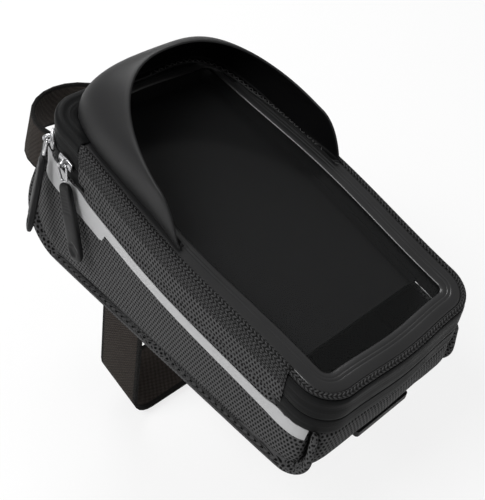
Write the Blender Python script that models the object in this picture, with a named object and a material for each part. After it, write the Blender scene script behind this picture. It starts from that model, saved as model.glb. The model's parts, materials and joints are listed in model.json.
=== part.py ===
"""A zipped bike bag that sits on the top tube behind the stem.

A wedge-shaped padded tub carries a lid with a clear phone window and a hood against
the sun. The lid swings about the fabric on its left side. The frame of the part: origin
on the underside of the pad that rests on the tube, X to the rider's right, Y forward,
Z up and square to the bottom. The tub is drawn with its bottom at height zero, and the
whole bag is raised onto the pad at the end. The lid is drawn in its own frame, pitched
up towards the front, with its origin on the lid's top plane.
"""

import math

import bmesh
import bpy
from mathutils import Matrix, Vector

mm = 0.001
seam_gap = 0.3 * mm

# Lid plane and its outline at the zip
lid_pitch = math.radians(10.5)
lid_plane_height = 61.7 * mm
half_width = 47.5 * mm
rear_end = 84 * mm
front_end = 87 * mm
corner_radius = 15 * mm
side_bulge = 3 * mm
end_bulge = 1.5 * mm
hinge_front = 58 * mm
hinge_rear = 62 * mm

# Heights in the lid frame, below the top plane
zip_drop = 11.7 * mm
band_bottom = 18.7 * mm
band_top = 3.6 * mm
tape_thickness = 1.4 * mm
lip_gap = 0.4 * mm

# Tub
wall = 3.5 * mm
front_wall_taper = 7.5 * mm
front_wall_y = front_end + front_wall_taper
rear_wall_y = rear_end - 2 * mm
front_bottom_radius = 20 * mm
rear_bottom_radius = 14 * mm
bottom_edge_radius = 5 * mm
rear_edge_radius = 10 * mm
front_round_low = 24 * mm
front_round_high = 56 * mm
rear_round_high = 28 * mm
cut_allowance = 4 * mm
bow_spacing = 18 * mm
bow_level_spacing = 14 * mm
seam_angle = 45.0
piping_radius = 1.6 * mm
piping_lift = 0.35 * mm
flange_depth = 3.0 * mm
flange_thickness = 1.0 * mm
lining_thickness = 0.8 * mm
board_thickness = 2.0 * mm
board_margin = 4.0 * mm
board_corner = 8.0 * mm
strip_width = 6.2 * mm
strip_field_width = 11 * mm
strip_thickness = 0.5 * mm
strip_drop = 19.5 * mm
strip_step = 30 * mm
strip_step_length = 14 * mm
strip_corner_share = 0.3
strip_bunching = 0.8

# Zip
tooth_pitch = 6.0 * mm
tooth_width = 1.2 * mm
tooth_depth = 2.0 * mm
tooth_reach = 1.0 * mm
tooth_root = 3.0 * mm
tooth_lean = 0.25
stop_size = (1.6 * mm, 2.0 * mm, 2.2 * mm)
stop_setback = 1.3 * mm
relief_length = 60 * mm
relief_height = 30 * mm

# Lid
lid_piping_radius = 1.5 * mm
lid_piping_inset = 1.6 * mm
rim_outer = 0.6 * mm
rim_inner = 8.5 * mm
rim_top = 2.0 * mm
rim_shoulder = 2.6 * mm
rim_flange_thickness = 1.2 * mm
rim_leg_top = 4.4 * mm
rim_bottom = 8.0 * mm
rim_leg = 4.9 * mm
rim_leg_thickness = 1.2 * mm
border_outer = 3.6 * mm
border_inner = 11.5 * mm
border_height = 1.0 * mm
border_base = 0.9 * mm
border_edge = 0.4 * mm
film_thickness = 0.5 * mm
film_outer = 6.0 * mm
pocket_depth = 10.5 * mm
pocket_back_thickness = 1.6 * mm
pocket_top = 1.7 * mm
pocket_margin = rim_leg + rim_leg_thickness + seam_gap
pad_thickness = 3.0 * mm
pocket_rear = 60 * mm
pad_margin = 14 * mm

# Visor
visor_thickness = 1.6 * mm
visor_foot_inset = 4.7 * mm
visor_foot_width = 3.6 * mm
visor_foot_gap = 0.4 * mm
visor_wall_flare = 1.0 * mm
visor_wall_rise = 0.6
visor_least_height = 0.6 * mm
visor_start = 1.5 * mm
visor_end_stations = (-1.5 * mm, -0.6 * mm, 0.6 * mm, 2 * mm, 4 * mm)
visor_end_zone = 6 * mm
visor_edge_half_width = 46.8 * mm
visor_edge_front = 68 * mm
visor_roundness = 2.3
visor_front_height = 29.4 * mm
visor_shoulder_height = 18.4 * mm
visor_shoulder_y = 17 * mm

# Hinge of the lid
hinge_outset = 4.3 * mm

# Sliders and pulls
slider_runs = {"a": 9.0 * mm, "b": -4.6 * mm}
slider_length = 8.4 * mm
slider_height = 5.0 * mm
slider_thickness = 1.3 * mm
slider_clearance = 0.9 * mm
slider_taper = 0.18
bridge_width = 1.2 * mm
bridge_span = 4.6 * mm
bridge_rise = 3.4 * mm
bridge_bar = 1.0 * mm
bridge_sunk = 0.25 * mm
link_wire = 0.5 * mm
link_length = 6.5 * mm
link_width = 6.4 * mm
link_turn = 1.1 * mm
link_taper = 0.62
link_end_roundness = 0.5
grip_length = 35 * mm
grip_width = 8.4 * mm
grip_thickness = 3.2 * mm
pull_lean = {"a": 18.0, "b": 23.0}
pull_stand_off = 0.10

# Straps and pad
strap_thickness = 1.8 * mm
tube_strap_width = 28 * mm
tube_strap_front = 57 * mm
tube_strap_half = 34 * mm
tube_strap_depth = 77 * mm
tube_strap_slope = 0.36
tube_strap_corner = 13 * mm
tube_strap_flange = 14 * mm
tube_strap_fold = 4 * mm
head_strap_width = 28.5 * mm
head_strap_tilt = 14.0
head_strap_radius = 25 * mm
head_strap_reach = 25 * mm
head_strap_top = 38 * mm
head_strap_anchor = 19 * mm
head_strap_sunk = 1 * mm
head_strap_first_angle = 210.0
head_strap_turn = -240.0
seat_pad_width = 34 * mm
seat_pad_thickness = 3.0 * mm
seat_pad_offset = 6 * mm
seat_pad_corner = 1.5 * mm
seat_pad_front = 22 * mm
seat_pad_setback = 2.5 * mm


def clear_scene():
    for item in list(bpy.data.objects):
        bpy.data.objects.remove(item, do_unlink=True)


def make_material(name, colour, roughness, metallic=0.0, alpha=1.0):
    material = bpy.data.materials.new(name)
    material.use_nodes = True
    shader = material.node_tree.nodes["Principled BSDF"]
    shader.inputs["Base Color"].default_value = (*colour, 1.0)
    shader.inputs["Roughness"].default_value = roughness
    shader.inputs["Metallic"].default_value = metallic
    shader.inputs["Alpha"].default_value = alpha
    return material


def finish_object(name, bm, material, parent=None, location=(0, 0, 0), smooth=True):
    """Closes the bmesh into a named object with outward faces."""
    bmesh.ops.remove_doubles(bm, verts=bm.verts, dist=1e-6)
    bmesh.ops.recalc_face_normals(bm, faces=bm.faces)
    mesh = bpy.data.meshes.new(name)
    bm.to_mesh(mesh)
    bm.free()
    if smooth:
        mesh.shade_smooth()
        mesh.set_sharp_from_angle(angle=math.radians(35))
    mesh.materials.append(material)
    item = bpy.data.objects.new(name, mesh)
    item.location = location
    bpy.context.scene.collection.objects.link(item)
    if parent is not None:
        item.parent = parent
    return item


def add_rows(bm, rows, closed_rows, closed_across):
    """Skins rows of points; closed_rows joins the last row to the first."""
    grid = [[bm.verts.new(point) for point in row] for row in rows]
    count = len(grid[0])
    row_pairs = range(len(grid) if closed_rows else len(grid) - 1)
    column_pairs = range(count if closed_across else count - 1)
    for i in row_pairs:
        upper = grid[i]
        lower = grid[(i + 1) % len(grid)]
        for j in column_pairs:
            k = (j + 1) % count
            bm.faces.new((upper[j], upper[k], lower[k], lower[j]))
    return grid


def sweep(rows, closed=False):
    """A closed solid from rows that each hold a closed section."""
    bm = bmesh.new()
    grid = add_rows(bm, rows, closed, True)
    if not closed:
        bm.faces.new(grid[0])
        bm.faces.new(grid[-1])
    return bm


# Outline of the lid


def bulged_side(start, end, bulge, steps, first=0.0, last=1.0):
    """Stations along a side that swells outwards between its two corners."""
    along = end - start
    outward = Vector((along.y, -along.x)).normalized()
    stations = []
    for i in range(steps + 1):
        t = first + (last - first) * i / steps
        point = start + along * t + outward * bulge * math.sin(math.pi * t) ** 2
        slope = along + outward * bulge * math.pi * math.sin(2 * math.pi * t)
        stations.append((point, Vector((slope.y, -slope.x)).normalized()))
    return stations


def corner_stations(centre, start_angle, steps):
    stations = []
    for i in range(steps + 1):
        angle = math.radians(start_angle + 90 * i / steps)
        normal = Vector((math.cos(angle), math.sin(angle)))
        stations.append((centre + normal * corner_radius, normal))
    return stations


def lid_outline(detail=1):
    """Hinge stretch and zip stretch of the outline, anticlockwise seen from above.

    Each station is a point on the outline and the outward direction there.
    """
    x = half_width - corner_radius
    front = front_end - corner_radius
    rear = -(rear_end - corner_radius)
    side_length = front - rear
    hinge_first = (front - hinge_front) / side_length
    hinge_last = (front + hinge_rear) / side_length
    left = (Vector((-half_width, front)), Vector((-half_width, rear)), side_bulge)
    right = (Vector((half_width, rear)), Vector((half_width, front)), side_bulge)
    back = (Vector((-x, -rear_end)), Vector((x, -rear_end)), end_bulge)
    nose = (Vector((x, front_end)), Vector((-x, front_end)), end_bulge)
    turn = 5 * detail
    hinge = bulged_side(*left, 7 * detail, hinge_first, hinge_last)
    track = bulged_side(*left, detail, hinge_last, 1.0)
    track += corner_stations(Vector((-x, rear)), 180, turn)[1:]
    track += bulged_side(*back, 4 * detail)[1:]
    track += corner_stations(Vector((x, rear)), 270, turn)[1:]
    track += bulged_side(*right, 8 * detail)[1:]
    track += corner_stations(Vector((x, front)), 0, turn)[1:]
    track += bulged_side(*nose, 4 * detail)[1:]
    track += corner_stations(Vector((-x, front)), 90, turn)[1:]
    track += bulged_side(*left, detail, 0.0, hinge_first)[1:]
    return hinge, track


def on_lid(station, inset, height):
    """A point of the lid: the walls stand square to the bag's bottom, not to the lid."""
    point, normal = station
    place = point - normal * inset
    return Vector((place.x, place.y + height * math.tan(lid_pitch), height))


def band(stations, section, closed=False):
    """Sweeps a section of (inset, height) pairs along stations of the outline."""
    rows = [[on_lid(station, *pair) for pair in section] for station in stations]
    return sweep(rows, closed)


def trimmed(stations, trim):
    """Stations with both ends moved inwards along the run by a gap."""
    first, second = stations[0], stations[1]
    last, before = stations[-1], stations[-2]
    start = first[0] + (second[0] - first[0]).normalized() * trim
    end = last[0] + (before[0] - last[0]).normalized() * trim
    return [(start, first[1]), *stations[1:-1], (end, last[1])]


def whole_outline(detail=1):
    hinge, track = lid_outline(detail)
    return hinge[:-1] + track[:-1]


def track_place(track, distance):
    """Point and outward direction at a distance along the zip track."""
    for (here, out_here), (there, out_there) in zip(track, track[1:]):
        length = (there - here).length
        if distance <= length:
            t = distance / length
            return here.lerp(there, t), out_here.lerp(out_there, t).normalized()
        distance -= length
    return track[-1]


def track_length(track):
    return sum((there[0] - here[0]).length for here, there in zip(track, track[1:]))


def add_box(bm, centre, along, outward, up, size):
    """A box with its own axes; size is its length, depth and height."""
    matrix = Matrix((along, outward, up)).transposed().to_4x4()
    matrix.translation = centre
    made = bmesh.ops.create_cube(bm, size=1.0)["verts"]
    bmesh.ops.scale(bm, verts=made, vec=size)
    bmesh.ops.transform(bm, verts=made, matrix=matrix)


def add_wall_box(bm, station, inset, height, size, lean=0.0):
    """A box that stands along the lid's wall; it leans as the wall does, and inwards by a slope."""
    outward = Vector((station[1].x, station[1].y, 0))
    along = Vector((-outward.y, outward.x, 0))
    up = Vector((0, math.tan(lid_pitch), 1)) - outward * lean
    add_box(bm, on_lid(station, inset, height), along, outward, up, size)


def ring_disc(stations, inset, low, high, rear_limit=-1.0):
    """A plate with the lid's outline, drawn in by an inset and cut off at its rear limit."""
    bm = bmesh.new()
    loops = []
    for height in (low, high):
        loop = []
        for station in stations:
            place = on_lid(station, inset, height)
            place.y = max(place.y, rear_limit)
            loop.append(bm.verts.new(place))
        loops.append(loop)
    count = len(stations)
    for i in range(count):
        k = (i + 1) % count
        bm.faces.new((loops[0][i], loops[0][k], loops[1][k], loops[1][i]))
    bm.faces.new(loops[0])
    bm.faces.new(loops[1])
    return bm


# Tub


def lid_to_bag(point):
    pitch = Matrix.Rotation(lid_pitch, 3, "X")
    return pitch @ Vector(point) + Vector((0, 0, lid_plane_height))


def lid_height_at(y, drop):
    """Height in the bag's frame of the plane that lies a drop below the lid's top."""
    return lid_plane_height + y * math.tan(lid_pitch) - drop / math.cos(lid_pitch)


def smooth_rise(value, low, high):
    t = min(1.0, max(0.0, (value - low) / (high - low)))
    return t * t * (3 - 2 * t)


def front_wall_at(z):
    """The front wall leans back towards the zip."""
    top = lid_height_at(front_wall_y, 0)
    return front_wall_y - front_wall_taper * smooth_rise(z, front_bottom_radius, top)


def front_radius_at(z):
    rise = smooth_rise(z, front_round_low, front_round_high)
    return bottom_edge_radius + (corner_radius - bottom_edge_radius) * rise


def rear_radius_at(z):
    rise = smooth_rise(z, rear_bottom_radius, rear_round_high)
    return rear_edge_radius + (corner_radius - rear_edge_radius) * rise


def tub_path():
    """The tub's side profile: point, inward direction and corner radius.

    It runs down the front wall, back along the bottom and up the rear wall, and starts
    and ends above the zip, where it is cut off later.
    """
    path = []
    top_front = lid_height_at(front_wall_y, zip_drop) + cut_allowance
    top_rear = lid_height_at(-rear_wall_y, zip_drop) + cut_allowance
    soft = bottom_edge_radius
    for i in range(8):
        z = top_front + (front_bottom_radius - top_front) * i / 7
        path.append((Vector((front_wall_at(z), z)), Vector((-1, 0)), front_radius_at(z)))
    centre = Vector((front_wall_y - front_bottom_radius, front_bottom_radius))
    for i in range(1, 7):
        angle = math.radians(90 * i / 7)
        out = Vector((math.cos(angle), -math.sin(angle)))
        path.append((centre + out * front_bottom_radius, -out, soft))
    front_floor = front_wall_y - front_bottom_radius
    rear_floor = -rear_wall_y + rear_bottom_radius
    for y in (front_floor, rear_floor):
        path.append((Vector((y, 0)), Vector((0, 1)), soft))
    centre = Vector((-rear_wall_y + rear_bottom_radius, rear_bottom_radius))
    for i in range(1, 6):
        angle = math.radians(90 * i / 6)
        out = Vector((-math.sin(angle), -math.cos(angle)))
        radius = soft + (rear_edge_radius - soft) * i / 6
        path.append((centre + out * rear_bottom_radius, -out, radius))
    for i in range(4):
        z = rear_bottom_radius + (top_rear - rear_bottom_radius) * i / 3
        path.append((Vector((-rear_wall_y, z)), Vector((1, 0)), rear_radius_at(z)))
    return path


def swell(bm):
    """Bows the tub's walls outwards, as the lid's outline does."""
    middle = (front_end - rear_end) / 2
    reach = (front_end + rear_end) / 2 - corner_radius
    end_reach = half_width - corner_radius
    for vert in bm.verts:
        x, y, z = vert.co
        height = smooth_rise(z / lid_height_at(y, band_bottom), 0.0, 1.0)
        side = math.cos(math.pi / 2 * min(1.0, abs(y - middle) / reach)) ** 2
        end = math.cos(math.pi / 2 * min(1.0, abs(x) / end_reach)) ** 2
        vert.co.x = x * (1 + side_bulge / half_width * side * height)
        vert.co.y = y * (1 + end_bulge / front_end * end * height)


def cut_lengths(bm):
    """Adds cross cuts to the large flat faces, so that they can bow."""
    planes = [((0, bow_spacing * k, 0), (0, 1, 0)) for k in range(-3, 4)]
    planes += [((0, 0, bow_level_spacing * k), (0, 0, 1)) for k in range(1, 4)]
    for place, normal in planes:
        geometry = list(bm.verts) + list(bm.edges) + list(bm.faces)
        bmesh.ops.bisect_plane(bm, geom=geometry, dist=1e-7, plane_co=place, plane_no=normal)


def cut_above(bm, drop):
    """Cuts the tub off at a plane parallel to the lid and closes the cut."""
    geometry = list(bm.verts) + list(bm.edges) + list(bm.faces)
    normal = Vector((0, -math.sin(lid_pitch), math.cos(lid_pitch)))
    made = bmesh.ops.bisect_plane(
        bm,
        geom=geometry,
        dist=1e-7,
        plane_co=lid_to_bag((0, 0, -drop)),
        plane_no=normal,
        clear_outer=True,
    )
    edges = [item for item in made["geom_cut"] if isinstance(item, bmesh.types.BMEdge)]
    bmesh.ops.edgeloop_fill(bm, edges=edges)


def corner_point(place, side, angle, depth):
    """A point on a corner of the tub: angle 0 faces sideways, 90 faces the strip."""
    point, inward, radius = place
    turn = math.radians(angle)
    x = side * (half_width - radius + (radius - depth) * math.cos(turn))
    across = point + inward * (radius - (radius - depth) * math.sin(turn))
    return Vector((x, across.x, across.y))


def seam_turn(place, depth, gap):
    """Angle that a gap at the seam takes up on a corner."""
    return math.degrees(gap / max(place[2] - depth, 1 * mm))


def side_panel(side):
    """A padded side panel: a flat field whose rim turns in to the seam."""
    path = tub_path()
    gap = flange_thickness / 2 + seam_gap
    bm = bmesh.new()
    skins = []
    for depth in (0.0, wall):
        rows = []
        for place in path:
            last = seam_angle - seam_turn(place, 0.0, gap)
            if depth:
                last = seam_angle - seam_turn(place, depth, gap)
            rows.append([corner_point(place, side, last * t, depth) for t in (0, 0.5, 1)])
        grid = add_rows(bm, rows, False, False)
        bm.faces.new([row[0] for row in grid])
        skins.append(grid)
    outer, inner = skins
    for i in range(len(path) - 1):
        bm.faces.new((outer[i][2], outer[i + 1][2], inner[i + 1][2], inner[i][2]))
    for end in (0, -1):
        for j in (0, 1):
            pair = (outer[end][j], outer[end][j + 1], inner[end][j + 1], inner[end][j])
            bm.faces.new(pair)
    bm.faces.new((outer[0][0], outer[-1][0], inner[-1][0], inner[0][0]))
    bmesh.ops.recalc_face_normals(bm, faces=bm.faces)
    cut_lengths(bm)
    return bm


def gusset_section(place, depth, reverse):
    """Points across the strip, from the left seam to the right one."""
    turn = seam_turn(place, depth, flange_thickness / 2 + seam_gap)
    angles = [seam_angle + turn + (90 - seam_angle - turn) * t for t in (0, 0.5, 1)]
    left = [corner_point(place, -1, angle, depth) for angle in angles]
    right = [corner_point(place, 1, angle, depth) for angle in reversed(angles)]
    middle = [left[-1].lerp(right[0], t) for t in (0.25, 0.5, 0.75)]
    row = left + middle + right
    return row[::-1] if reverse else row


def gusset():
    """Front wall, bottom and rear wall as one strip."""
    rows = []
    for place in tub_path():
        rows.append(gusset_section(place, 0.0, False) + gusset_section(place, wall, True))
    bm = sweep(rows)
    bmesh.ops.recalc_face_normals(bm, faces=bm.faces)
    return bm


def tub_plug(depth):
    """The whole tub as one block, drawn in by a depth; it reaches above the zip."""
    rows = []
    for place in tub_path():
        left = [corner_point(place, -1, angle, depth) for angle in (0, 30, 60, 90)]
        right = [corner_point(place, 1, angle, depth) for angle in (90, 60, 30, 0)]
        middle = [left[-1].lerp(right[0], t) for t in (0.25, 0.5, 0.75)]
        rows.append(left + middle + right)
    bm = bmesh.new()
    grid = add_rows(bm, rows, False, False)
    bm.faces.new([row[0] for row in grid])
    bm.faces.new([row[-1] for row in grid])
    bm.faces.new([*grid[0], *reversed(grid[-1])])
    bmesh.ops.recalc_face_normals(bm, faces=bm.faces)
    cut_lengths(bm)
    return bm


def piping(side):
    """A round cord on the seam, with the flange that is sewn between the panels."""
    section = []
    root = flange_thickness / 2
    lift = piping_radius + piping_lift
    start = math.asin(root / piping_radius)
    for i in range(9):
        angle = -math.pi / 2 + start + (2 * math.pi - 2 * start) * i / 8
        section.append((piping_radius * math.cos(angle), lift + piping_radius * math.sin(angle)))
    section += [(-root, -flange_depth), (root, -flange_depth)]
    rows = []
    turn = math.radians(seam_angle)
    for place in tub_path():
        centre = corner_point(place, side, seam_angle, 0.0)
        inward = place[1]
        outward = Vector((side * math.cos(turn), -inward.x * math.sin(turn), -inward.y * math.sin(turn)))
        across = Vector((-side * math.sin(turn), -inward.x * math.cos(turn), -inward.y * math.cos(turn)))
        rows.append([centre + across * w + outward * h for w, h in section])
    return sweep(rows)


def zip_relief(end, edge, sign):
    """A block that clears the left panel for the zip tape past an end of the hinge."""
    rows = []
    low = -band_bottom - seam_gap
    high = low + relief_height
    for distance in (edge - seam_gap, edge + relief_length):
        row = []
        for x, z in ((-2, low), (0, low), (0, high), (-2, high)):
            station = (Vector((x * half_width, sign * distance)), Vector((0, 0)))
            row.append(lid_to_bag(on_lid(station, 0, z)))
        rows.append(row)
    cutter = finish_object(f"zip_relief_{end}", sweep(rows), materials["board"], smooth=False)
    cutter.hide_render = True
    cutter.display_type = "WIRE"
    return cutter


def subtract(item, cutter):
    modifier = item.modifiers.new(cutter.name, "BOOLEAN")
    modifier.operation = "DIFFERENCE"
    modifier.object = cutter


def build_tub():
    """Panels, gusset, piping, lining and base board."""
    for side, name in ((-1, "left"), (1, "right")):
        bm = side_panel(side)
        swell(bm)
        cut_above(bm, zip_drop + lip_gap / 2 if side < 0 else band_bottom + seam_gap)
        panel = finish_object(f"side_panel_{name}", bm, materials["mesh"])
        if side < 0:
            subtract(panel, zip_relief("front", hinge_front, 1))
            subtract(panel, zip_relief("rear", hinge_rear, -1))
        bm = piping(side)
        swell(bm)
        cut_above(bm, band_bottom + seam_gap)
        finish_object(f"panel_piping_{name}", bm, materials["piping"])
    bm = gusset()
    swell(bm)
    cut_above(bm, band_bottom + seam_gap)
    finish_object("gusset", bm, materials["mesh"])
    bm = tub_plug(wall + seam_gap)
    swell(bm)
    cut_above(bm, band_bottom + seam_gap)
    lining = finish_object("lining", bm, materials["lining"])
    bm = tub_plug(wall + seam_gap + lining_thickness)
    swell(bm)
    cut_above(bm, band_bottom - cut_allowance)
    hollow = finish_object("lining_hollow", bm, materials["lining"])
    hollow.hide_render = True
    hollow.display_type = "WIRE"
    subtract(lining, hollow)
    build_base_board()


def build_base_board():
    floor = wall + lining_thickness + 2 * seam_gap
    side = half_width - wall - lining_thickness - board_margin
    front = front_wall_y - front_bottom_radius
    rear = -rear_wall_y + rear_bottom_radius
    bm = bmesh.new()
    bmesh.ops.create_cube(bm, size=1.0)
    bmesh.ops.scale(bm, verts=bm.verts, vec=(2 * side, front - rear, board_thickness))
    bmesh.ops.translate(bm, verts=bm.verts, vec=(0, (front + rear) / 2, floor + board_thickness / 2))
    upright = [e for e in bm.edges if abs(e.verts[0].co.z - e.verts[1].co.z) > board_thickness / 2]
    bmesh.ops.bevel(bm, geom=upright, offset=board_corner, segments=4, profile=0.5, affect="EDGES")
    finish_object("base_board", bm, materials["board"])


def strip_edges(y):
    """Upper and lower edge of the reflective strip, as drops below the lid plane."""
    field = smooth_rise(y, strip_step, strip_step + strip_step_length)
    return strip_drop, strip_drop + strip_width + (strip_field_width - strip_width) * field


def strip_ends(edge):
    """How far forward and back an edge of the strip runs, short of the seams."""
    margin = flange_thickness + 2 * seam_gap
    z_front = lid_height_at(front_wall_y - corner_radius, strip_edges(front_wall_y)[edge])
    z_rear = lid_height_at(-rear_wall_y, strip_edges(-rear_wall_y)[edge])
    front = front_wall_at(z_front) - strip_corner_share * front_radius_at(z_front) - margin
    rear = rear_wall_y - strip_corner_share * rear_radius_at(z_rear) - margin
    return front, -rear


def on_side(side, y, z, lift):
    """A point on a side panel, out by a lift; near the ends it follows the corners."""
    x = half_width
    for wall_y, radius, end in (
        (front_wall_at(z), front_radius_at(z), 1),
        (rear_wall_y, rear_radius_at(z), -1),
    ):
        past = end * y - (wall_y - radius)
        if past > 0:
            turn = math.asin(min(0.99, past / radius))
            x -= radius - (radius + lift) * math.cos(turn) + lift
            y += end * lift * math.sin(turn)
    return Vector((side * (x + lift), y, z))


def build_strips():
    """Reflective strips on the two side panels, with their wide front field."""
    steps = 26
    for side, name in ((-1, "left"), (1, "right")):
        rows = []
        for i in range(steps + 1):
            t = i / steps
            t -= strip_bunching * math.sin(2 * math.pi * t) / (2 * math.pi)
            row = []
            for edge, lift in ((0, strip_thickness), (1, strip_thickness), (1, 0), (0, 0)):
                front, rear = strip_ends(edge)
                y = front + (rear - front) * t
                z = lid_height_at(y, strip_edges(y)[edge])
                row.append(on_side(side, y, z, lift + seam_gap))
            rows.append(row)
        bm = sweep(rows)
        swell(bm)
        finish_object(f"reflective_strip_{name}", bm, materials["reflective"])


# Zip


def tape(track, far, toward):
    """One coated tape, from its free lip to its sewn edge."""
    lip = -zip_drop - toward * lip_gap / 2
    section = [(0, far), (0, lip), (tape_thickness, lip), (tape_thickness, far)]
    return band(trimmed(track, seam_gap), section)


def teeth(track, phase, toward):
    """Teeth rooted in the tape; each leans inwards, so that it passes behind the other lip."""
    count = int(track_length(track) / tooth_pitch) - 1
    height = tooth_root + tooth_reach
    bm = bmesh.new()
    for i in range(count):
        station = track_place(track, tooth_pitch * (i + 0.75 + phase))
        middle = -zip_drop + toward * (tooth_reach - height / 2)
        inset = tape_thickness + seam_gap - tooth_lean * (height / 2 - tooth_reach) + tooth_depth / 2
        size = (tooth_width, tooth_depth, height)
        add_wall_box(bm, station, inset, middle, size, tooth_lean * toward)
    return bm


def build_zip(lid):
    """Two tapes whose teeth stand between each other, and the stops at the ends."""
    track = lid_outline()[1]
    for name, far, toward, phase, parent in (
        ("zip_tape_lower", -band_bottom, 1, 0.0, None),
        ("zip_tape_upper", -band_top, -1, 0.5, lid),
    ):
        item = finish_object(name, tape(track, far, toward), materials["tape"])
        row = finish_object(f"{name}_teeth", teeth(track, phase, toward), materials["tape"])
        row.hide_render = True
        row.display_type = "WIRE"
        modifier = item.modifiers.new("teeth", "BOOLEAN")
        modifier.operation = "UNION"
        modifier.object = row
        place_in_lid_frame(item, parent)
        place_in_lid_frame(row, parent)
    inset = tape_thickness + seam_gap + stop_size[1] / 2
    height = -zip_drop - lip_gap - stop_size[2] / 2
    for name, distance in (("rear", stop_setback), ("front", track_length(track) - stop_setback)):
        bm = bmesh.new()
        add_wall_box(bm, track_place(track, distance), inset, height, stop_size)
        stop = finish_object(f"zip_stop_{name}", bm, materials["metal"], smooth=False)
        place_in_lid_frame(stop, None)


def place_in_lid_frame(item, lid):
    """Puts a mesh that is drawn in the lid frame in its place, on the lid or on the tub."""
    if lid is None:
        item.rotation_euler = (lid_pitch, 0, 0)
        item.location = (0, 0, lid_plane_height)
    else:
        item.parent = lid
        item.location = (half_width + hinge_outset, 0, zip_drop)


# Lid


def build_lid_shell(lid):
    """Rim, piping, hinge wall, window border and film."""
    whole = whole_outline()
    hinge = lid_outline()[0]
    leg_end = -(pocket_top + pocket_depth + pocket_back_thickness)
    rim_section = [
        (tape_thickness + seam_gap, -band_top),
        (rim_outer, -band_top + seam_gap),
        (rim_outer, -rim_shoulder),
        (border_outer, -rim_top - seam_gap / 2),
        (rim_inner, -rim_top),
        (rim_inner, -rim_top - rim_flange_thickness),
        (rim_leg + rim_leg_thickness, -rim_leg_top),
        (rim_leg + rim_leg_thickness, leg_end),
        (rim_leg, leg_end),
        (rim_leg, -rim_bottom),
        (tape_thickness + seam_gap, -rim_bottom),
    ]
    item = finish_object("lid_rim", band(whole, rim_section, True), materials["lining"])
    place_in_lid_frame(item, lid)
    bead = []
    for i in range(8):
        angle = math.radians(45 * i + 22.5)
        inset = lid_piping_inset + lid_piping_radius * math.cos(angle)
        bead.append((inset, lid_piping_radius * math.sin(angle)))
    item = finish_object("lid_piping", band(whole, bead, True), materials["piping"])
    place_in_lid_frame(item, lid)
    wall_section = [
        (0, -zip_drop + lip_gap / 2),
        (0, -band_top),
        (tape_thickness, -band_top),
        (tape_thickness, -zip_drop + lip_gap / 2),
    ]
    item = finish_object("lid_side_panel", band(hinge, wall_section), materials["mesh"])
    place_in_lid_frame(item, lid)
    border_section = [
        (border_outer, -border_base),
        (border_outer, border_edge),
        (border_outer + 1.4 * mm, border_height),
        (border_outer + 4.5 * mm, border_height * 0.7),
        (border_inner - 1.0 * mm, border_height * 0.1),
        (border_inner, -border_edge),
        (border_inner, -border_base),
    ]
    item = finish_object("window_border", band(whole, border_section, True), materials["border"])
    place_in_lid_frame(item, lid)
    film_top = -border_base - seam_gap
    film = ring_disc(whole, film_outer, film_top - film_thickness, film_top)
    place_in_lid_frame(finish_object("window_film", film, materials["film"]), lid)


def build_pocket(lid):
    """The back of the phone pocket and its foam pad; the telephone goes in past their rear ends."""
    whole = whole_outline()
    top = -pocket_top - pocket_depth
    low = top - pocket_back_thickness
    back = ring_disc(whole, pocket_margin, low, top, -pocket_rear)
    place_in_lid_frame(finish_object("pocket_back", back, materials["lining"]), lid)
    base = top + seam_gap
    pad = ring_disc(whole, pad_margin, base, base + pad_thickness, -pocket_rear)
    place_in_lid_frame(finish_object("phone_pad", pad, materials["foam"]), lid)


def visor_edge_height(y):
    """Height of the hood's free edge above the lid plane."""
    if y < visor_shoulder_y:
        rise = (y + visor_start) / (visor_shoulder_y + visor_start)
        return visor_shoulder_height * math.sin(math.pi / 2 * max(0.0, rise)) ** 0.8
    climb = (y - visor_shoulder_y) / (visor_edge_front - visor_shoulder_y)
    return visor_shoulder_height + (visor_front_height - visor_shoulder_height) * climb


def build_visor(lid):
    """A hood round the front half: foot, wall and free edge, drawn as one skin."""
    feet = [(p - n * visor_foot_inset, n) for p, n in whole_outline(2)]
    front_half = [(p, n) for p, n in feet if p.y > visor_end_zone]
    front_half.sort(key=lambda s: math.atan2(s[0].y + visor_start, s[0].x))
    for side, end in ((1, 0), (-1, -1)):
        tip, out = front_half[end]
        near = [(Vector((tip.x, y)), out) for y in visor_end_stations]
        front_half = near + front_half if side > 0 else front_half + near[::-1]
    reach_x = max(p.x for p, n in front_half)
    reach_y = max(p.y for p, n in front_half) + visor_start
    foot_z = border_height + visor_foot_gap + visor_thickness / 2
    rows = []
    for point, normal in front_half:
        turn = math.atan2((point.y + visor_start) / reach_y, point.x / reach_x)
        c, s = math.cos(turn), math.sin(turn)
        edge_x = visor_edge_half_width * math.copysign(abs(c) ** (2 / visor_roundness), c)
        edge_y = (visor_edge_front + visor_start) * abs(s) ** (2 / visor_roundness) - visor_start
        height = foot_z + max(visor_least_height, visor_edge_height(edge_y) - foot_z)
        foot = Vector((point.x, point.y, foot_z))
        outward = Vector((normal.x, normal.y, 0))
        edge = Vector((edge_x, edge_y, height))
        control = foot + outward * visor_wall_flare
        control.z = foot_z + (height - foot_z) * visor_wall_rise
        row = [foot - outward * visor_foot_width]
        for t in (0.0, 0.2, 0.45, 0.7, 1.0):
            row.append(foot * (1 - t) ** 2 + control * (2 * t * (1 - t)) + edge * t**2)
        rows.append(row)
    bm = bmesh.new()
    add_rows(bm, rows, False, False)
    item = finish_object("visor", bm, materials["visor"])
    place_in_lid_frame(item, lid)
    solid = item.modifiers.new("thickness", "SOLIDIFY")
    solid.thickness = visor_thickness
    solid.offset = 0.0
    solid.use_even_offset = False


# Sliders and pulls


def corner_centre():
    """Centre of the front-left corner at the height of the zip, in the lid frame."""
    y = front_end - corner_radius - zip_drop * math.tan(lid_pitch)
    return Vector((corner_radius - half_width, y, -zip_drop))


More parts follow.
